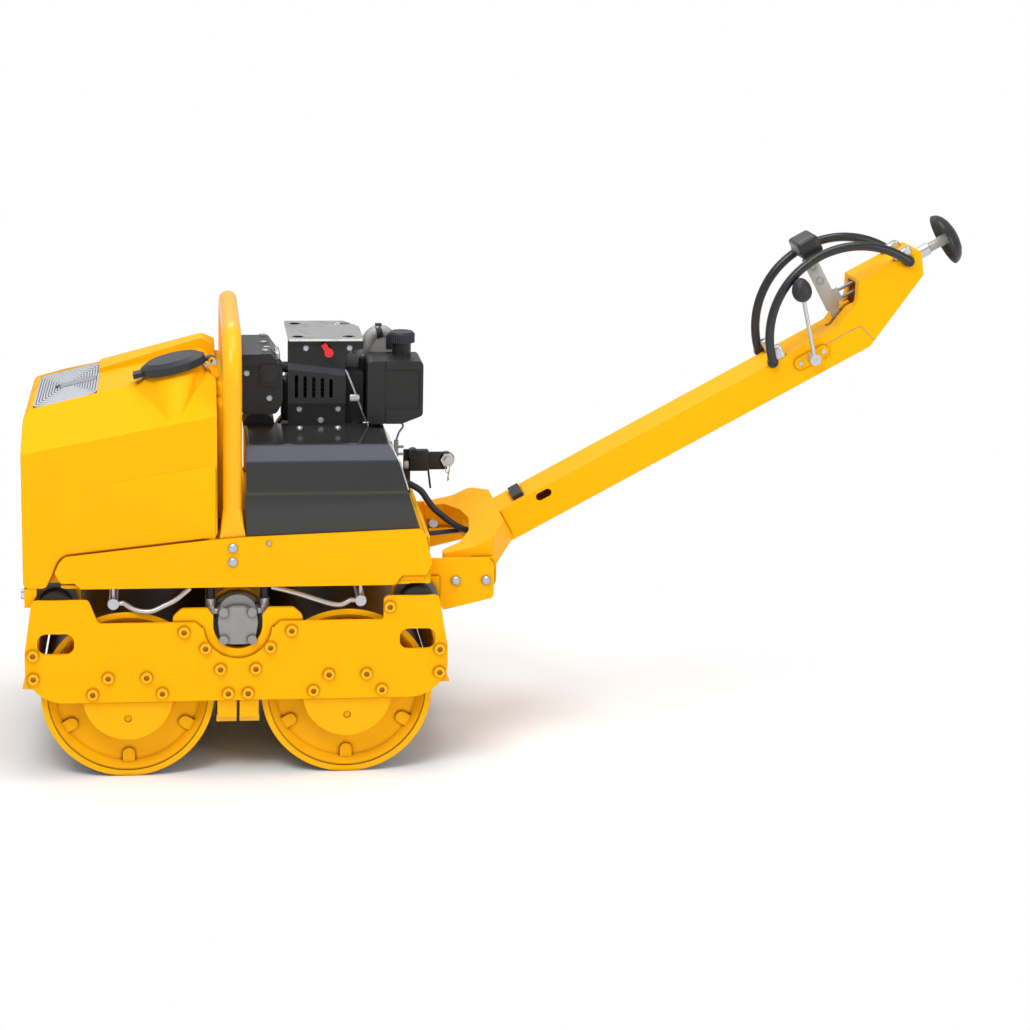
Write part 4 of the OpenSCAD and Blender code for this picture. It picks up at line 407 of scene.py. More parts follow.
# %% The machine's finishes
YELLOW = (1.0, 0.462, 0.003)
# Painted shade: the dark yellow that corners and seams take in the yellow finishes.
SHADE_YELLOW = (0.33, 0.13, 0.001)
FINISHES = {
    "yellow_paint": finish("yellow_paint", YELLOW, 0.45, bump=0.02, grain=220, variation=0.012,
                           specular=0.05, corner_shade_color=SHADE_YELLOW, edge_mm=1.6),
    "yellow_gloss": finish("yellow_gloss", YELLOW, 0.3, coat=0.22, coat_roughness=0.12, bump=0.02,
                           grain=220, variation=0.012, specular=0.2, corner_shade_color=SHADE_YELLOW, edge_mm=1.6),
    "yellow_hood": finish("yellow_hood", YELLOW, 0.45, bump=0.03, grain=300, variation=0.01,
                          specular=0.06, corner_shade_color=SHADE_YELLOW, corner_shade_below=0.78, edge_mm=4.0),
    "yellow_moulded": finish("yellow_moulded", YELLOW, 0.45, bump=0.03, grain=300, variation=0.01,
                             specular=0.06, edge_mm=4.0),
    "yellow_worn": finish("yellow_worn", (0.99, 0.475, 0.001), 0.45, bump=0.05, grain=120,
                          variation=0.03, specular=0.06, dust=0.06, dust_height=0.4,
                          corner_shade_color=SHADE_YELLOW, edge_mm=1.6),
    "yellow_bolt": finish("yellow_bolt", YELLOW, 0.4, coat=0.1, bump=0.03, grain=500, variation=0.02,
                          specular=0.22, corner_shade_color=SHADE_YELLOW, edge_mm=0.8),
    "scraper_plastic": finish("scraper_plastic", (0.9, 0.5, 0.02), 0.6, bump=0.1, grain=300,
                              variation=0.08, corner_shade_color=SHADE_YELLOW),
    "drum_steel": finish("drum_steel", (0.07, 0.066, 0.06), 0.42, metallic=0.8, bump=0.12, grain=90,
                         variation=0.22, dust=0.4, dust_height=0.3),
    "black_gloss": finish("black_gloss", (0.032, 0.032, 0.031), 0.15, coat=0.35, coat_roughness=0.05,
                          bump=0.015, grain=260, variation=0.06, specular=0.3, edge_mm=2.5),
    # Painted reflection: the next two are lighter, bluish copies of the black finishes for up-sloping faces.
    "fold_painted_sheen": finish("fold_painted_sheen", (0.042, 0.043, 0.053), 0.3, coat=0.2, coat_roughness=0.15,
                         bump=0.015, grain=260, variation=0.08, specular=0.3, edge_mm=2.5),
    "sheet_painted_sheen": finish("sheet_painted_sheen", (0.036, 0.038, 0.062), 0.32, coat=0.08, coat_roughness=0.15,
                          bump=0.015, grain=260, variation=0.08, specular=0.25, edge_mm=2.5),
    "black_satin": finish("black_satin", (0.021, 0.021, 0.02), 0.36, bump=0.04, grain=420,
                          variation=0.1, coat=0.1, specular=0.25, edge_mm=1.4),
    "black_moulded": finish("black_moulded", (0.026, 0.026, 0.028), 0.34, bump=0.05, grain=700,
                            variation=0.1, coat=0.12, specular=0.3, edge_mm=3.0),
    "black_plastic": finish("black_plastic", (0.026, 0.028, 0.034), 0.42, bump=0.1, grain=700,
                            variation=0.12, specular=0.35, edge_mm=1.6),
    "black_tube": finish("black_tube", (0.02, 0.021, 0.023), 0.28, bump=0.06, grain=500,
                         variation=0.12, coat=0.25, specular=0.35, edge_mm=0),
    "hose_rubber": finish("hose_rubber", (0.014, 0.016, 0.026), 0.42, bump=0.12, grain=350,
                          variation=0.15, coat=0.1, specular=0.4, edge_mm=0),
    "rubber": finish("rubber", (0.016, 0.018, 0.02), 0.48, bump=0.12, grain=350, variation=0.15,
                     specular=0.4, edge_mm=1.5),
    "zinc": finish("zinc", (0.6, 0.61, 0.63), 0.3, metallic=0.85, bump=0.04, grain=500,
                   variation=0.12, edge_mm=0.8),
    "bolt_blue_zinc": finish("bolt_blue_zinc", (0.5, 0.54, 0.6), 0.32, metallic=0.6, bump=0.05,
                             grain=500, variation=0.1, edge_mm=1.2),
    "machined_steel": finish("machined_steel", (0.5, 0.5, 0.51), 0.3, metallic=1.0, bump=0.06,
                             grain=300, variation=0.1),
    "cast_alloy": finish("cast_alloy", (0.29, 0.29, 0.285), 0.46, metallic=0.15, bump=0.25, grain=420,
                         variation=0.1, corner_shade_color=(0.05, 0.05, 0.05), edge_mm=2.0),
    "duct_grey": finish("duct_grey", (0.36, 0.36, 0.35), 0.5, metallic=0.2, bump=0.3, grain=500,
                        variation=0.14),
    "dark_iron": finish("dark_iron", (0.022, 0.023, 0.026), 0.5, metallic=0.3, bump=0.25, grain=260,
                        variation=0.2),
    "ring_grey": finish("ring_grey", (0.2, 0.21, 0.21), 0.4, metallic=0.5, bump=0.08, grain=300,
                        variation=0.12),
    "panel_grey": finish("panel_grey", (0.5, 0.51, 0.55), 0.5, bump=0.06, grain=600, variation=0.06,
                         corner_shade_color=(0.2, 0.2, 0.22), edge_mm=0),
    "slot_grey": finish("slot_grey", (0.3, 0.3, 0.31), 0.5, bump=0.06, grain=600, variation=0.06,
                        edge_mm=0.5),
    "lever_grey": finish("lever_grey", (0.42, 0.42, 0.39), 0.42, metallic=0.25, bump=0.12, grain=400,
                         variation=0.12, corner_shade_color=(0.08, 0.08, 0.07), edge_mm=1.0),
    "rod_grey_blue": finish("rod_grey_blue", (0.26, 0.29, 0.36), 0.36, metallic=0.4, bump=0.06,
                            grain=300, variation=0.1),
    "red_plastic": finish("red_plastic", (0.72, 0.01, 0.012), 0.32, coat=0.3, bump=0.03, grain=500,
                          variation=0.08),
}
print(len(FINISHES), "finishes")

# %% [markdown]
# ## The polished top plate
# The sheet on top of the engine is bright and mirrors its surroundings, and its four screws sit in
# pressed wells. Dark rings around the wells, drawn on the sheet's own place, are painted shade, and a
# broad noise draws faint dark wavy patches, which are a painted reflection of the surroundings.

# %% Polished plate finish
WELL_R = 0.012
WELLS = [mm(x, y, 0) for x in (150, 273) for y in (-57, 116)]
PAINTED_SHADE_AND_REFLECTION = (0.05, 0.055, 0.075)


def polished_plate(name):
    material = finish(name, (0.83, 0.83, 0.8), 0.14, metallic=1.0, bump=0.01, grain=120,
                      variation=0.05)
    tree = material.node_tree
    nodes, links = tree.nodes, tree.links
    base = nodes["Principled BSDF"].inputs["Base Color"]
    place = nodes.new("ShaderNodeTexCoord")
    flat = nodes.new("ShaderNodeVectorMath")
    flat.operation = "MULTIPLY"
    flat.inputs[1].default_value = (1, 1, 0)
    links.new(place.outputs["Object"], flat.inputs[0])
    reflection_wave = nodes.new("ShaderNodeTexNoise")
    reflection_wave.inputs["Scale"].default_value = 9.0
    reflection_wave.inputs["Distortion"].default_value = 1.2
    links.new(flat.outputs["Vector"], reflection_wave.inputs["Vector"])
    # Painted reflection: a broad noise darkens wavy patches of the sheet.
    painted_dark = ranged(tree, reflection_wave.outputs["Fac"], 0.56, 0.62, 0.0, 0.22).outputs["Result"]
    # Painted shade: a dark ring around each screw well.
    for well in WELLS:
        away = nodes.new("ShaderNodeVectorMath")
        away.operation = "DISTANCE"
        away.inputs[1].default_value = (well.x, well.y, 0)
        links.new(flat.outputs["Vector"], away.inputs[0])
        ring = ranged(tree, away.outputs["Value"], WELL_R * 1.3, WELL_R * 1.05)
        painted_dark = combine(tree, "MAXIMUM", painted_dark, ring.outputs["Result"])
    links.new(mixed(tree, painted_dark, base.links[0].from_socket, PAINTED_SHADE_AND_REFLECTION), base)
    return material


FINISHES["polished_plate"] = polished_plate("polished_plate")
print("polished plate has", len(FINISHES["polished_plate"].node_tree.nodes), "nodes")

# %% [markdown]
# ## Dress the CAD nodes
# Nodes whose shape is already right keep their mesh and get a finish. The table says which finish
# belongs to which piece of the machine. Nodes that a finer piece replaces further down aren't in it.

# %% Finish of each node
DRESS = {
    "yellow_paint": ["side_plate_left", "side_plate_right", "rail_left", "rail_right", "hitch_cheeks",
                     "drawbar_root", "drawbar_beam", "gear_cover", "end_scrapers"],
    "yellow_gloss": ["lifting_bow"],
    "yellow_hood": ["water_tank"],
    "yellow_worn": ["centre_housing", "upper_frame", "front_drum_discs", "rear_drum_discs",
                    "axle_hubs"],
    "yellow_bolt": ["side_plate_bolts"],
    "scraper_plastic": ["drum_scraper_bars"],
    "black_satin": ["fuel_tank", "air_cleaner"],
    "black_plastic": ["water_cap"],
    "black_tube": ["hand_hoops"],
    "zinc": ["motor_fittings", "spray_bars", "lock_pin", "drawbar_screws"],
    "bolt_blue_zinc": ["frame_bolts"],
    "machined_steel": ["bearings", "exciter_shaft", "drive_pinion", "front_idler_gear",
                       "rear_idler_gear", "front_ring_gear", "rear_ring_gear"],
    "cast_alloy": ["exciter_motor", "travel_motor"],
    "polished_plate": ["engine_top_cover"],
    "dark_iron": ["engine_block", "flywheel", "hydraulic_pump", "hydraulic_tank"],
    "red_plastic": ["decompression_lever"],
}


def dress(node, material):
    mesh_object = frame["nodes"][node]
    mesh_object.data.materials.clear()
    mesh_object.data.materials.append(material)


for finish_name, nodes_dressed in DRESS.items():
    for node_name in nodes_dressed:
        dress(node_name, FINISHES[finish_name])
print("nodes dressed:", sum(len(names) for names in DRESS.values()))

# %% [markdown]
# ## Building new pieces
# The new pieces are drawn in millimetres, either in the machine's frame or along the drawbar, and one
# matrix puts them in place at the end. Each helper wraps one or two operators: a block with rounded
# edges, a round rod between two points, a tube swept along a smooth path, and a turned profile.

# %% Helpers for pieces
MACHINE = Matrix.Translation(mm(0, 0, 0)) @ Matrix.Scale(0.001, 4)
ALONG_BEAM = (Matrix.Translation(on_beam(0, 0, 0)) @ Matrix.Rotation(-BEAM_ANGLE, 4, "Y")
              @ Matrix.Scale(0.001, 4))


def add_piece(name, bm, finishes, rides, stands_for=(), to_place=MACHINE, smooth_below=38):
    """Puts a bmesh drawn in millimetres in its place and makes it a piece of the machine. Edges
    flatter than smooth_below degrees are smooth."""
    if to_place is not None:
        bmesh.ops.transform(bm, matrix=to_place, verts=bm.verts)
    for face in bm.faces:
        face.smooth = True
    for edge in bm.edges:
        edge.smooth = edge.calc_face_angle(math.pi) < math.radians(smooth_below)
    mesh = bpy.data.meshes.new(name)
    bm.to_mesh(mesh)
    bm.free()
    piece = bpy.data.objects.new(name, mesh)
    bpy.context.collection.objects.link(piece)
    for finish_name in finishes if isinstance(finishes, list) else [finishes]:
        mesh.materials.append(FINISHES[finish_name])
    if isinstance(rides, str):
        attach(piece, rides)
    if stands_for:
        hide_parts(*stands_for)
    return piece


def add_block(bm, low, high, rounding=0.0, segments=3):
    middle = [(a + b) / 2 for a, b in zip(low, high)]
    size = [b - a for a, b in zip(low, high)]
    made = bmesh.ops.create_cube(bm, size=1.0,
                                 matrix=Matrix.Translation(middle) @ Matrix.Diagonal((*size, 1)))
    if rounding > 0:
        edges = list(dict.fromkeys(edge for vert in made["verts"] for edge in vert.link_edges))
        bmesh.ops.bevel(bm, geom=edges, offset=rounding, offset_type="OFFSET", segments=segments,
                        profile=0.5, affect="EDGES", clamp_overlap=True, material=-1)


def add_rod(bm, start, end, radius, end_radius=None, sides=28):
    start, end = Vector(start), Vector(end)
    turn = (end - start).to_track_quat("Z", "Y").to_matrix().to_4x4()
    bmesh.ops.create_cone(bm, cap_ends=True, segments=sides, depth=(end - start).length,
                          radius1=radius, radius2=radius if end_radius is None else end_radius,
                          matrix=Matrix.Translation((start + end) / 2) @ turn)


def smooth_route(points, steps):
    """A Catmull-Rom curve through the points."""
    points = [Vector(p) for p in points]
    ends = [2 * points[0] - points[1], *points, 2 * points[-1] - points[-2]]
    route = []
    for i in range(1, len(ends) - 2):
        p0, p1, p2, p3 = ends[i - 1:i + 3]
        for k in range(steps):
            t = k / steps
            route.append(0.5 * (2 * p1 + (p2 - p0) * t + (2 * p0 - 5 * p1 + 4 * p2 - p3) * t * t
                                + (3 * p1 - p0 - 3 * p2 + p3) * t ** 3))
    return route + [points[-1]]


def add_tube(bm, points, radius, steps=6, sides=20):
    """A ring is extruded from stop to stop of the route, turned a little at each."""
    route = smooth_route(points, steps) if steps > 1 else [Vector(p) for p in points]
    heading = (route[1] - route[0]).normalized()
    stand = Matrix.Translation(route[0]) @ heading.to_track_quat("Z", "Y").to_matrix().to_4x4()
    ring = bmesh.ops.create_circle(bm, cap_ends=True, segments=sides, radius=radius,
                                   matrix=stand)["verts"]
    edges = list(dict.fromkeys(edge for vert in ring for edge in vert.link_edges))
    for i in range(1, len(route)):
        ahead = route[min(i + 1, len(route) - 1)] - route[i - 1]
        turn = heading.rotation_difference(ahead.normalized()).to_matrix().to_4x4()
        grown = bmesh.ops.extrude_edge_only(bm, edges=edges)["geom"]
        ring = [item for item in grown if isinstance(item, bmesh.types.BMVert)]
        edges = [item for item in grown if isinstance(item, bmesh.types.BMEdge)
                 and all(vert in ring for vert in item.verts)]
        step = Matrix.Translation(route[i]) @ turn @ Matrix.Translation(-route[i - 1])
        bmesh.ops.transform(bm, matrix=step, verts=ring)
        heading = ahead.normalized()
    bmesh.ops.contextual_create(bm, geom=edges)
    bmesh.ops.recalc_face_normals(bm, faces=bm.faces)


def add_turned(bm, profile, centre, axis, steps=40):
    """A profile of (radius, height) points is spun about an axis through the centre."""
    stand = Matrix.Translation(centre) @ Vector(axis).to_track_quat("Z", "Y").to_matrix().to_4x4()
    verts = [bm.verts.new(stand @ Vector((r, 0, h))) for r, h in profile]
    edges = [bm.edges.new(pair) for pair in zip(verts, verts[1:])]
    bmesh.ops.spin(bm, geom=verts + edges, cent=centre, axis=axis, angle=2 * math.pi, steps=steps,
                   use_merge=True)
    bmesh.ops.remove_doubles(bm, verts=bm.verts, dist=0.001)
    bmesh.ops.recalc_face_normals(bm, faces=bm.faces)


print("beam starts at", [round(v, 4) for v in on_beam(0, 0, 0)])

# %% [markdown]
# ## Pieces with two finishes
# A few CAD nodes carry more than one finish on the real machine. The drums have yellow ends and a
# bare tread, the throttle has a steel rod and a black knob. On the engine cover and the engine shroud
# the up-sloping faces of the near fold take a lighter, bluish copy of the black finish, which is a
# painted reflection of the sky rather than a second finish. A merged copy of the node takes its place,
# and each of its faces gets the finish of the region where it lies.

# %% Copies with two finishes
def two_finishes(node, name, finishes, choose):
    bm = bmesh.new()
    bm.from_mesh(frame["nodes"][node].data)
    bmesh.ops.remove_doubles(bm, verts=bm.verts, dist=1e-6)
    for face in bm.faces:
        x, y, z = face.calc_center_median()
        face.material_index = choose((x - MID_X) * 1000, y * 1000, z * 1000, face.normal)
    return add_piece(name, bm, finishes, body_of(frame["nodes"][node])[0], [node], None, 30)


DRUM_X, AXLE_Z, RIM_R, END_Y, RECESS_Y = 255, 200, 198, 324, 280
COVER_FOLD_Y, SHROUD_FOLD_Y, BUFFER_CAP_Y = -270, -60, 330
KNOB_Z, STOP_END_X, BASE_FACE_Y, LEVER_END_X = 1081, 800, -70.5, 1490


def drum_region(middle_x):
    """Yellow on the drum's end and inside its rim, bare on the tread."""
    def choose(x, y, z, normal):
        inside_rim = math.hypot(x - middle_x, z - AXLE_Z) < RIM_R
        return 0 if abs(y) > END_Y or (inside_rim and abs(y) > RECESS_Y) else 1
    return choose


recoloured = [
    two_finishes("front_drum_shell", "front_drum_painted", ["yellow_worn", "drum_steel"],
                 drum_region(-DRUM_X)),
    two_finishes("rear_drum_shell", "rear_drum_painted", ["yellow_worn", "drum_steel"],
                 drum_region(DRUM_X)),
    # Painted reflection: the up-sloping faces of the near fold of the cover and of the shroud take the
    # lighter bluish copy of the black.
    two_finishes("engine_cover", "engine_cover_sheet", ["black_gloss", "sheet_painted_sheen"],
                 lambda x, y, z, n: 1 if 0.25 < n.z < 0.93 and y < COVER_FOLD_Y else 0),
    two_finishes("engine_shroud", "engine_shroud_sheet", ["black_satin", "fold_painted_sheen"],
                 lambda x, y, z, n: 1 if 0.25 < n.z < 0.97 and y < SHROUD_FOLD_Y else 0),
    two_finishes("buffer_plates", "buffer_cap_and_ring", ["rubber", "ring_grey"],
                 lambda x, y, z, n: 0 if abs(y) > BUFFER_CAP_Y else 1),
    two_finishes("throttle_lever", "throttle_rod_and_knob", ["zinc", "black_plastic"],
                 lambda x, y, z, n: 1 if z > KNOB_Z else 0),
    two_finishes("drawbar_trim", "drawbar_stop_and_base",
                 ["rubber", "yellow_moulded", "bolt_blue_zinc"],
                 lambda x, y, z, n: 0 if x < STOP_END_X else (1 if y > BASE_FACE_Y else 2)),
    two_finishes("travel_lever", "travel_lever_and_rods", ["lever_grey", "rod_grey_blue"],
                 lambda x, y, z, n: 1 if x > LEVER_END_X else 0),
]
print("recoloured", [piece.name for piece in recoloured])

# %% [markdown]
# ## Hoses, spray pipes and the intake duct
# The hydraulic hoses are rubber tubes of steady diameter between crimped steel ferrules. The CAD
# model keeps them as straight runs, and here the same routes are swept as smooth tubes. The control
# hoses run from the chassis into the drawbar, so they are blended between the two bodies and bend
# with the fold. The intake duct is a cast elbow: a swept tube with a web under its arch, a flange at
# the engine and a clip. Two mounts stand behind it.

# %% Hoses
MOTOR_HOSES = [
    [(-62, -300, 408), (-62, -300, 424), (-62, -300, 440), (-58, -298, 476), (-30, -290, 506),
     (10, -278, 530), (36, -270, 560), (44, -262, 600), (54, -254, 650), (80, -250, 690),
     (110, -250, 700), (134, -250, 700)],
    [(62, -300, 408), (62, -300, 424), (62, -300, 440), (62, -298, 480), (66, -288, 530),
     (72, -270, 580), (80, -256, 630), (96, -250, 658), (110, -250, 664), (134, -250, 664)],
    [(-62, 300, 408), (-62, 300, 424), (-62, 300, 440), (-58, 298, 480), (-30, 286, 508),
     (10, 264, 522), (40, 248, 524), (50, 230, 524), (50, 200, 524)],
    [(62, 300, 408), (62, 300, 424), (62, 300, 440), (62, 296, 480), (68, 272, 508), (82, 248, 518),
     (90, 228, 520), (90, 200, 520)],
]
MOTOR_HOSE_R, FERRULE_R, CONTROL_HOSE_R, SPRAY_PIPE_R = 10, 12.5, (8, 6), 6
hose_bm, ferrule_bm = bmesh.new(), bmesh.new()
for route in MOTOR_HOSES:
    add_tube(hose_bm, route, MOTOR_HOSE_R)
    add_rod(ferrule_bm, route[0], route[1], FERRULE_R)
motor_hoses = add_piece("motor_hose_tubes", hose_bm, "hose_rubber", "chassis", ["motor_hoses"])
add_piece("hose_ferrules", ferrule_bm, "zinc", "chassis")

CONTROL_HOSES = [
    [(300, -45, 650), (330, -45, 650), (360, -45, 650), (410, -46, 634), (432, -46, 624),
     (452, -46, 610), (466, -46, 590), (482, -45, 568), (504, -43, 548), (532, -40, 526),
     (560, -36, 510), (590, -30, 504), (620, -24, 506), (652, -20, 512)],
    [(308, -62, 500), (344, -62, 500), (380, -62, 500), (420, -60, 503), (460, -56, 505),
     (510, -44, 506), (560, -16, 503), (610, 6, 500), (652, 12, 506)],
]
control_bm = bmesh.new()
for route, radius in zip(CONTROL_HOSES, CONTROL_HOSE_R):
    add_tube(control_bm, route, radius)
control_hoses = add_piece("control_hose_tubes", control_bm, "hose_rubber", None, ["control_hoses"])
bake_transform(control_hoses, "chassis", "drawbar", start=tuple(mm(470, -45, 560)),
         end=tuple(mm(625, -10, 506)))
print("hose tubes", len(motor_hoses.data.polygons) + len(control_hoses.data.polygons), "faces")

# %% Spray pipes and intake duct
SPRAY_PIPES = [
    [(273, -322, 420), (268, -322, 420), (262, -322, 420), (242, -328, 412), (218, -330, 414),
     (180, -329, 426), (148, -328, 437), (110, -326, 448), (78, -325, 456)],
    [(-273, -322, 420), (-268, -322, 420), (-262, -322, 420), (-236, -328, 406), (-202, -330, 402),
     (-172, -329, 414), (-144, -328, 428), (-126, -326, 442), (-109, -325, 456)],
]
pipe_bm = bmesh.new()
for route in SPRAY_PIPES:
    add_tube(pipe_bm, route, SPRAY_PIPE_R, sides=16)
add_piece("spray_pipe_tubes", pipe_bm, "zinc", "chassis", ["spray_pipes"])

DUCT_R, WEB_R, WEB_HALF = 16, 13, 10
duct_bm = bmesh.new()
add_tube(duct_bm, [(256, 40, 930), (268, 40, 930), (282, 40, 930), (302, 40, 935), (317, 40, 950),
                   (326, 40, 971), (340, 40, 987), (358, 42, 990), (374, 46, 980), (382, 52, 962),
                   (384, 56, 942)], DUCT_R, sides=32)
add_rod(duct_bm, (272, 40, 930), (284, 40, 930), DUCT_R + 3)
web, upright = [], Matrix.Rotation(math.pi / 2, 4, "X")
for x, z in ((304, 936), (318, 958), (330, 980), (344, 985), (366, 976), (378, 952)):
    web += bmesh.ops.create_circle(duct_bm, segments=20, radius=WEB_R,
                                   matrix=Matrix.Translation((x, 41, z)) @ upright)["verts"]
for i, vert in enumerate(web):
    vert.co.y += WEB_HALF if i % 2 else -WEB_HALF
bmesh.ops.convex_hull(duct_bm, input=web)
bmesh.ops.recalc_face_normals(duct_bm, faces=duct_bm.faces)
add_piece("intake_duct", duct_bm, "duct_grey", "chassis", ["intake_elbow"])
flange_bm = bmesh.new()
add_block(flange_bm, (266, 20, 892), (316, 60, 938), 5, 3)
add_rod(flange_bm, (300, 40, 934), (309, 40, 946), 20, 18)
add_piece("intake_flange", flange_bm, "duct_grey", "chassis")
mount_bm = bmesh.new()
add_block(mount_bm, (302, 3, 786), (324, 62, 932), 4, 3)
add_block(mount_bm, (112, -44, 786), (148, 24, 888), 9, 3)
add_rod(mount_bm, (110, -20, 872), (152, -20, 872), 17)
add_piece("intake_and_tank_mounts", mount_bm, "dark_iron", "chassis")
clip_bm = bmesh.new()
add_rod(clip_bm, (343, 40, 987), (357, 42, 990), 17.4, sides=32)
add_block(clip_bm, (342, 34, 1000), (358, 48, 1010), 2)
add_block(clip_bm, (368, 28, 948), (388, 36, 986), 3)
add_piece("duct_clip", clip_bm, "black_plastic", "chassis")
print("pipes and duct made")

# %% [markdown]
# ## Rubber buffers
# Each buffer is a turned rubber block with a waist, bonded between two steel discs. A spun profile
# with a rounded shoulder replaces the plain solid.

# %% Buffers
BUFFER_X = 418
BUFFER_PROFILE = [(0, 0), (36, 0), (39, 1.5), (40, 5), (40, 11), (38, 15), (35, 19), (33.5, 23),
                  (35, 28), (38, 33), (40, 37), (40, 41), (39, 43.7), (0, 43.7)]
buffer_bm = bmesh.new()
for side in (-1, 1):
    for x in (-BUFFER_X, BUFFER_X):
        add_turned(buffer_bm, BUFFER_PROFILE, Vector((x, side * 339, 414)), Vector((0, -side, 0)))
add_piece("buffer_rubber", buffer_bm, "rubber", "chassis", ["rubber_buffers"])
print("4 buffers")

# %% [markdown]
# ## Ribbed step panel
# The grey panel in the hood's front slope has fine ribs that follow its rounded outline, with a sunk
# slot in the middle. A rounded rectangle is extruded step by step, each time a little further in and
# up or down.

# %% Panel
SLOPE, SHOULDER = math.radians(13.6), math.radians(27.9)
TOP_FRONT_X, TOP_FRONT_Z, PANEL_FRONT_X = -477, 852, -470
PANEL_FRONT_Z = TOP_FRONT_Z + (PANEL_FRONT_X - TOP_FRONT_X) * math.tan(SLOPE)
ON_SLOPE = (MACHINE @ Matrix.Translation((PANEL_FRONT_X, 0, PANEL_FRONT_Z))
            @ Matrix.Rotation(-SLOPE, 4, "Y"))


def rounded_outline(middle, half, radius, height, per_corner=7):
    outline, radius = [], max(min(radius, *half), 0.4)
    for sx, sy, start in ((1, 1, 0), (-1, 1, 90), (-1, -1, 180), (1, -1, 270)):
        for step in range(per_corner):
            angle = math.radians(start + 90 * step / (per_corner - 1))
            outline.append(Vector((middle[0] + sx * (half[0] - radius) + radius * math.cos(angle),
                                   middle[1] + sy * (half[1] - radius) + radius * math.sin(angle),
                                   height)))
    return outline


def stacked_outlines(bm, outlines, capped=True):
    """The first outline is drawn as a ring, and this ring is extruded to one outline after the other.
    Without caps the last outline is the first one again, and the two are merged."""
    ring = bmesh.ops.create_circle(bm, segments=len(outlines[0]), radius=1.0)["verts"]
    for vert, place in zip(ring, outlines[0]):
        vert.co = place
    edges = list(dict.fromkeys(edge for vert in ring for edge in vert.link_edges))
    if capped:
        bmesh.ops.contextual_create(bm, geom=edges)
    for outline in outlines[1:]:
        order = {tuple(vert.co): i for i, vert in enumerate(ring)}
        grown = bmesh.ops.extrude_edge_only(bm, edges=edges)["geom"]
        ring = sorted((item for item in grown if isinstance(item, bmesh.types.BMVert)),
                      key=lambda vert: order[tuple(vert.co)])
        edges = [item for item in grown if isinstance(item, bmesh.types.BMEdge)
                 and all(vert in ring for vert in item.verts)]
        for vert, place in zip(ring, outline):
            vert.co = place
    if capped:
        bmesh.ops.contextual_create(bm, geom=edges)
    else:
        bmesh.ops.remove_doubles(bm, verts=bm.verts, dist=0.001)
    bmesh.ops.recalc_face_normals(bm, faces=bm.faces)


PANEL_HALF, PANEL_MIDDLE, CORNER_R = (75.9, 185.6), (76.1, 0.0), 34
RIB_COUNT, RIB_PITCH, CORNER_PITCH = 11, (6.6, 16.4), 2.6
RIB_PROFILE = [(0.06, -0.1), (0.62, -0.1), (0.7, -2.8), (0.92, -2.8)]


def panel_outline(ribs_in, height):
    half = [whole - ribs_in * pitch for whole, pitch in zip(PANEL_HALF, RIB_PITCH)]
    return rounded_outline(PANEL_MIDDLE, half, CORNER_R - CORNER_PITCH * ribs_in, height)


panel_bm = bmesh.new()
stacked_outlines(panel_bm, [panel_outline(0, -4.8), panel_outline(0, -0.6)]
                 + [panel_outline(rib + part, height) for rib in range(RIB_COUNT)
                    for part, height in RIB_PROFILE])
panel = add_piece("ribbed_step", panel_bm, "panel_grey", "chassis", ["ribbed_panel"], ON_SLOPE, 25)

SLOT_MIDDLE, SLOT_CORNER_R = (97, 0), 16
SLOT_RIM = ((49, 22, -2.5), (49, 22, 1.4), (48, 20, 1.9), (47, 18, 1.8), (46, 16, 0.4))
slot_bm = bmesh.new()
stacked_outlines(slot_bm, [rounded_outline(SLOT_MIDDLE, half, SLOT_CORNER_R, height)
                           for *half, height in SLOT_RIM])
add_piece("step_slot_rim", slot_bm, "slot_grey", "chassis", (), ON_SLOPE, 25)
latch_bm = bmesh.new()
add_block(latch_bm, (47, -15, 0.2), (58, 8, 2.2), 1)
add_piece("step_slot_latch", latch_bm, "rubber", "chassis", (), ON_SLOPE)
print("panel", len(panel.data.polygons), "faces")

# %% [markdown]
# ## Moulded lines of the hood
# The hood is rotation moulded, and three forms stand on its flat sides: a wedge shaped swage on the
# near and far flank, a tapering fairing around the filler neck, and a shallow boss on the back wall
# between the legs of the lifting bow. A hull around four points gives the wedge. The fairing is a
# ring around the neck, so that the filler hole stays open, and its skirt, an oval drawn out to a foot
# on the shoulder, is sunk a little below the surface. A backing plate of the rail and the bolt of the
# cap's hinge are made here too.

# %% Swage, fairing, back boss and small parts
HOOD_BACK_X, FLANK_Y, SWAGE_Y = -50, 334.6, 341
swage_bm = bmesh.new()
for side in (-1, 1):
    corners = [swage_bm.verts.new((x, side * y, z)) for x, y, z in (
        (-334, FLANK_Y, 704), (HOOD_BACK_X, FLANK_Y, 750), (HOOD_BACK_X, SWAGE_Y, 739),
        (HOOD_BACK_X, FLANK_Y, 560))]
    bmesh.ops.convex_hull(swage_bm, input=corners)
bmesh.ops.recalc_face_normals(swage_bm, faces=swage_bm.faces)
add_piece("hood_swage", swage_bm, "yellow_moulded", "chassis")


SHOULDER_RISE = math.radians(11.1)


def hood_height(x, y):
    """Height of the hood's top or of its near shoulder, whichever is lower."""
    return min(TOP_FRONT_Z + (x - TOP_FRONT_X) * math.tan(SLOPE),
               777 + (x + 490) * math.tan(SHOULDER_RISE) + (y + 335) * math.tan(SHOULDER))


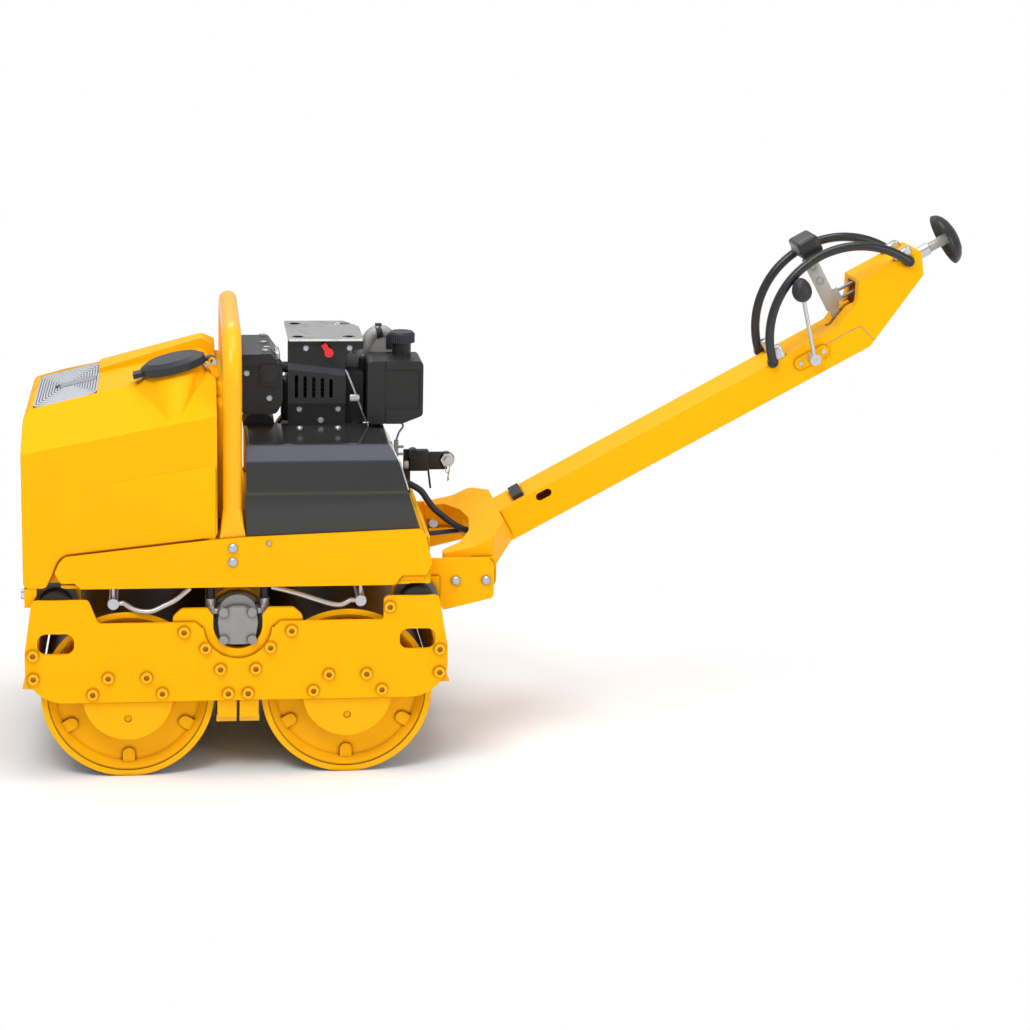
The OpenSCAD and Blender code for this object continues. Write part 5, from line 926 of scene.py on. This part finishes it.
NECK, NECK_STEPS = (-140, -176), 48
OVAL, OVAL_HALF = Vector((-152, -178)), (83, 64)
FOOT, FOOT_R = Vector((-144, -307)), 19
SUNK = 4
fairing_bm = bmesh.new()
neck_top, neck_inside, skirt = [], [], []
for i in range(NECK_STEPS):
    way = Vector((math.cos(math.tau * i / NECK_STEPS), math.sin(math.tau * i / NECK_STEPS)))
    for outline, radius, height in ((neck_top, 61.8, 946), (neck_inside, 60.5, 905)):
        x = radius * way.x
        outline.append(Vector((x + NECK[0], radius * way.y + NECK[1], height + x * math.tan(SLOPE))))
    a, b = OVAL_HALF
    oval = Vector((a ** 2 * way.x, b ** 2 * way.y)) / math.hypot(a * way.x, b * way.y) + OVAL
    place = max(oval, FOOT + FOOT_R * way, key=way.dot)
    skirt.append(Vector((*place, hood_height(*place) - SUNK)))
stacked_outlines(fairing_bm, [neck_top, skirt, neck_inside, neck_top], capped=False)
add_piece("neck_fairing", fairing_bm, "yellow_moulded", "chassis", (), MACHINE, 30)

boss_bm = bmesh.new()
add_block(boss_bm, (-60, -262, 600), (-27, 262, 880), 12, 4)
add_block(boss_bm, (-60, -196, 800), (-28, 196, 918), 12, 4)
add_piece("hood_back_boss", boss_bm, "yellow_worn", "chassis", (), MACHINE, 60)

backing_bm = bmesh.new()
add_block(backing_bm, (376, -336.5, 463), (448, -331, 494), 1, 2)
add_piece("rail_backing", backing_bm, "yellow_paint", "chassis")

hinge_bm = bmesh.new()
add_rod(hinge_bm, (-50, -194, 962), (-50, -201, 962), 8, 6)
add_tube(hinge_bm, [(-86, -190, 955), (-78, -191, 966), (-70, -192, 952), (-60, -193, 958),
                    (-50, -194, 962)], 4, 1)
add_piece("cap_hinge_bolt", hinge_bm, "zinc", "water_cap")
print("hood forms made")

# %% [markdown]
# ## Engine details
# A bowden wire runs from the governor down to the cover in a small clamp, and a bright trim edges the
# cover's slanted end. A bright zinc strip on the air cleaner's rounded rear shoulder is a painted
# highlight. The fuel cap's rim is a circle with every second point drawn in, extruded upwards, with a
# turned lid on top.

# %% Wire, clamp, trim, highlight strip and fuel cap
wire_bm = bmesh.new()
add_tube(wire_bm, [(262, -92, 922), (272, -94, 898), (284, -95, 868), (300, -96, 826),
                   (317, -97, 786)], 1.6, sides=10)
add_tube(wire_bm, [(266, -88, 918), (276, -90, 894), (290, -92, 858), (302, -94, 826)], 1.2, sides=10)
add_block(wire_bm, (272, -100, 846), (296, -90, 862), 2)
add_rod(wire_bm, (290, -100, 858), (290, -106, 858), 5)
add_piece("throttle_wire", wire_bm, "zinc", "chassis")

trim_bm = bmesh.new()
add_tube(trim_bm, [(353, -62, 783), (352, -276, 783), (371, -316, 755), (375, -321.5, 748),
                   (394, -330.5, 686)], 1.8, 1, 10)
add_piece("cover_edge_trim", trim_bm, "zinc", "chassis")

# Painted highlight: a bright zinc strip where the air cleaner's rounded rear shoulder catches the light.
highlight_strip_bm = bmesh.new()
add_tube(highlight_strip_bm, [(70, -30, 966.6), (81, -30, 966.6), (88, -30, 963), (112, -30, 930),
                    (131, -30, 900)], 1.6, 1, 10)
add_block(highlight_strip_bm, (96, -60, 940), (108, 20, 958), 3)
add_piece("cleaner_highlight_strip", highlight_strip_bm, "zinc", "chassis")

CAP_FOOT, CAP_R, CAP_RISE, GRIP_DEPTH = Vector((401, -26, 976.6)), 32, 21.5, 0.955
cap_bm = bmesh.new()
grips = bmesh.ops.create_circle(cap_bm, cap_ends=True, segments=72, radius=CAP_R,
                                matrix=Matrix.Translation(CAP_FOOT))["verts"]
for vert in grips[1::2]:
    vert.co = CAP_FOOT + (vert.co - CAP_FOOT) * GRIP_DEPTH
walls = bmesh.ops.extrude_face_region(cap_bm, geom=list(cap_bm.faces))["geom"]
bmesh.ops.translate(cap_bm, vec=(0, 0, CAP_RISE),
                    verts=[item for item in walls if isinstance(item, bmesh.types.BMVert)])
bmesh.ops.recalc_face_normals(cap_bm, faces=cap_bm.faces)
add_turned(cap_bm, [(0, 21.0), (30, 21.0), (29.5, 23), (27, 26.2), (18, 26.6), (17, 25.6), (0, 25.6)],
           Vector((401, -26, 976.4)), Vector((0, 0, 1)))
add_piece("fuel_cap_ribbed", cap_bm, "black_plastic", "fuel_cap", ["fuel_cap"], MACHINE, 25)
print("engine details made")

# %% [markdown]
# ## Transport lock
# The lock is a bent plate with a block for the pin's spring, and a spring clip keeps the pin from
# falling out. The plate here has the real outline, around the same pin as in the CAD model. Small
# tabs, a bolt and a loose rod sit on the rear wall beside it.

# %% Lock plate, clip and tabs
lock_bm = bmesh.new()
add_block(lock_bm, (419, 84, 528), (437, 92, 684), 1.5, 2)
add_block(lock_bm, (419, 72, 528), (427, 104, 586), 1.5, 2)
add_block(lock_bm, (430, 83, 632), (529, 92, 677), 2.5, 2)
add_block(lock_bm, (432, 74, 630), (482, 96, 684), 5, 3)
add_rod(lock_bm, (443, 72, 674), (443, 98, 674), 13)
add_rod(lock_bm, (528.7, 83, 658), (528.7, 92, 658), 18)
add_rod(lock_bm, (480, 80, 640), (487, 80, 586), 2.6)
add_piece("lock_plate", lock_bm, ["rubber"], "chassis", ["lock_bracket"])

clip_bm = bmesh.new()
add_tube(clip_bm, [(532, 77, 652), (526, 77, 644), (523, 76.5, 634), (528, 76.5, 625), (534, 77, 630),
                   (531, 77, 618), (533, 77, 606)], 1.3, 4, 10)
add_tube(clip_bm, [(532, 77, 652), (534, 77, 640), (531, 77, 622), (529, 77, 604)], 1.3, 4, 10)
add_piece("lock_clip", clip_bm, "zinc", "lock_pin")

tabs_bm = bmesh.new()
add_rod(tabs_bm, (408, -60, 680), (418, -60, 680), 9)
add_block(tabs_bm, (384, -46, 684), (395, -40, 738), 1)
add_block(tabs_bm, (392, -46, 700), (408, -40, 706), 1)
add_block(tabs_bm, (392, -46, 718), (408, -40, 724), 1)
add_tube(tabs_bm, [(372, -42, 794), (398, -42, 782), (406, -42, 772), (396, -42, 756),
                   (389, -42, 734)], 2.6, 4, 10)
add_piece("rear_wall_tabs", tabs_bm, "duct_grey", "chassis")
print("lock made")

# %% [markdown]
# ## Drawbar head
# The grip is a thick moulded pad on the travel lever, the stop button is a hollow mushroom on a
# slotted steel sleeve, and four cast lugs hold the ends of the hand hoops. They are drawn along the
# drawbar, where u runs up the beam and w stands square to it.

# %% Grip, button and lugs
grip_bm = bmesh.new()
add_block(grip_bm, (940, -50, 222), (996, 50, 268), 9, 4)
add_block(grip_bm, (952, -20, 204), (984, 20, 228), 5, 3)
add_block(grip_bm, (938.6, -44, 240), (942, 44, 246), 1.2, 2)
add_piece("grip_pad", grip_bm, "black_moulded", "travel_lever", ["lever_grip"], ALONG_BEAM)

ring_bm = bmesh.new()
add_block(ring_bm, (943, -5.8, 70), (977, 5.8, 216), 2.5, 2)
for w, r in ((188, 8.5), (150, 9.5)):
    add_turned(ring_bm, [(r, 0), (r, 1.6), (r - 1.6, 1.8), (r - 2.4, 0.4), (0, 0.4)],
               Vector((960, -5.7, w)), Vector((0, -1, 0)), 28)
add_piece("travel_lever_rings", ring_bm, "lever_grey", "travel_lever", (), ALONG_BEAM)

BUTTON_W = 90
button_bm = bmesh.new()
add_turned(button_bm, [(12, 6), (30, 4), (48, -3), (59, -11), (62.6, -19), (64, -21), (65.4, -20),
                       (65.2, -16), (62, -8), (54, 0.5), (42, 7), (28, 11), (14, 13), (0, 13.5)],
           Vector((1296.5, 0, BUTTON_W)), Vector((1, 0, 0)), 56)
add_piece("stop_button_dome", button_bm, "black_moulded", "stop_button", ["stop_button"],
          ALONG_BEAM, 50)
shaft_bm = bmesh.new()
add_rod(shaft_bm, (1172, 0, BUTTON_W), (1302, 0, BUTTON_W), 11.8)
for turn in range(6):
    angle = math.radians(60 * turn + 15)
    y, w = 11 * math.cos(angle), BUTTON_W + 11 * math.sin(angle)
    add_block(shaft_bm, (1262, y - 2, w - 2), (1298, y + 2, w + 2), 0.8, 2)
add_piece("stop_button_shaft", shaft_bm, "lever_grey", "stop_button", (), ALONG_BEAM)

lug_bm = bmesh.new()
for side in (-1, 1):
    low, high = sorted((side * 64, side * 38))
    add_block(lug_bm, (768, low, 36), (796, high, 72), 5, 3)
    add_rod(lug_bm, (784, side * 36, 58), (784, side * 66, 58), 8)
    add_block(lug_bm, (1136, low, 104), (1184, high, 134), 6, 3)
    add_rod(lug_bm, (1172, side * 36, 126), (1172, side * 66, 126), 8)
add_piece("hoop_end_lugs", lug_bm, "zinc", "drawbar", (), ALONG_BEAM)

seam_bm = bmesh.new()
add_tube(seam_bm, [(889, -65.1, 18), (985, -65.1, 18), (992, -65.1, 12), (1004, -65.1, -30)],
         0.7, 1, 8)
add_piece("head_seam", seam_bm, "rod_grey_blue", "drawbar", (), ALONG_BEAM)
print("drawbar head made")
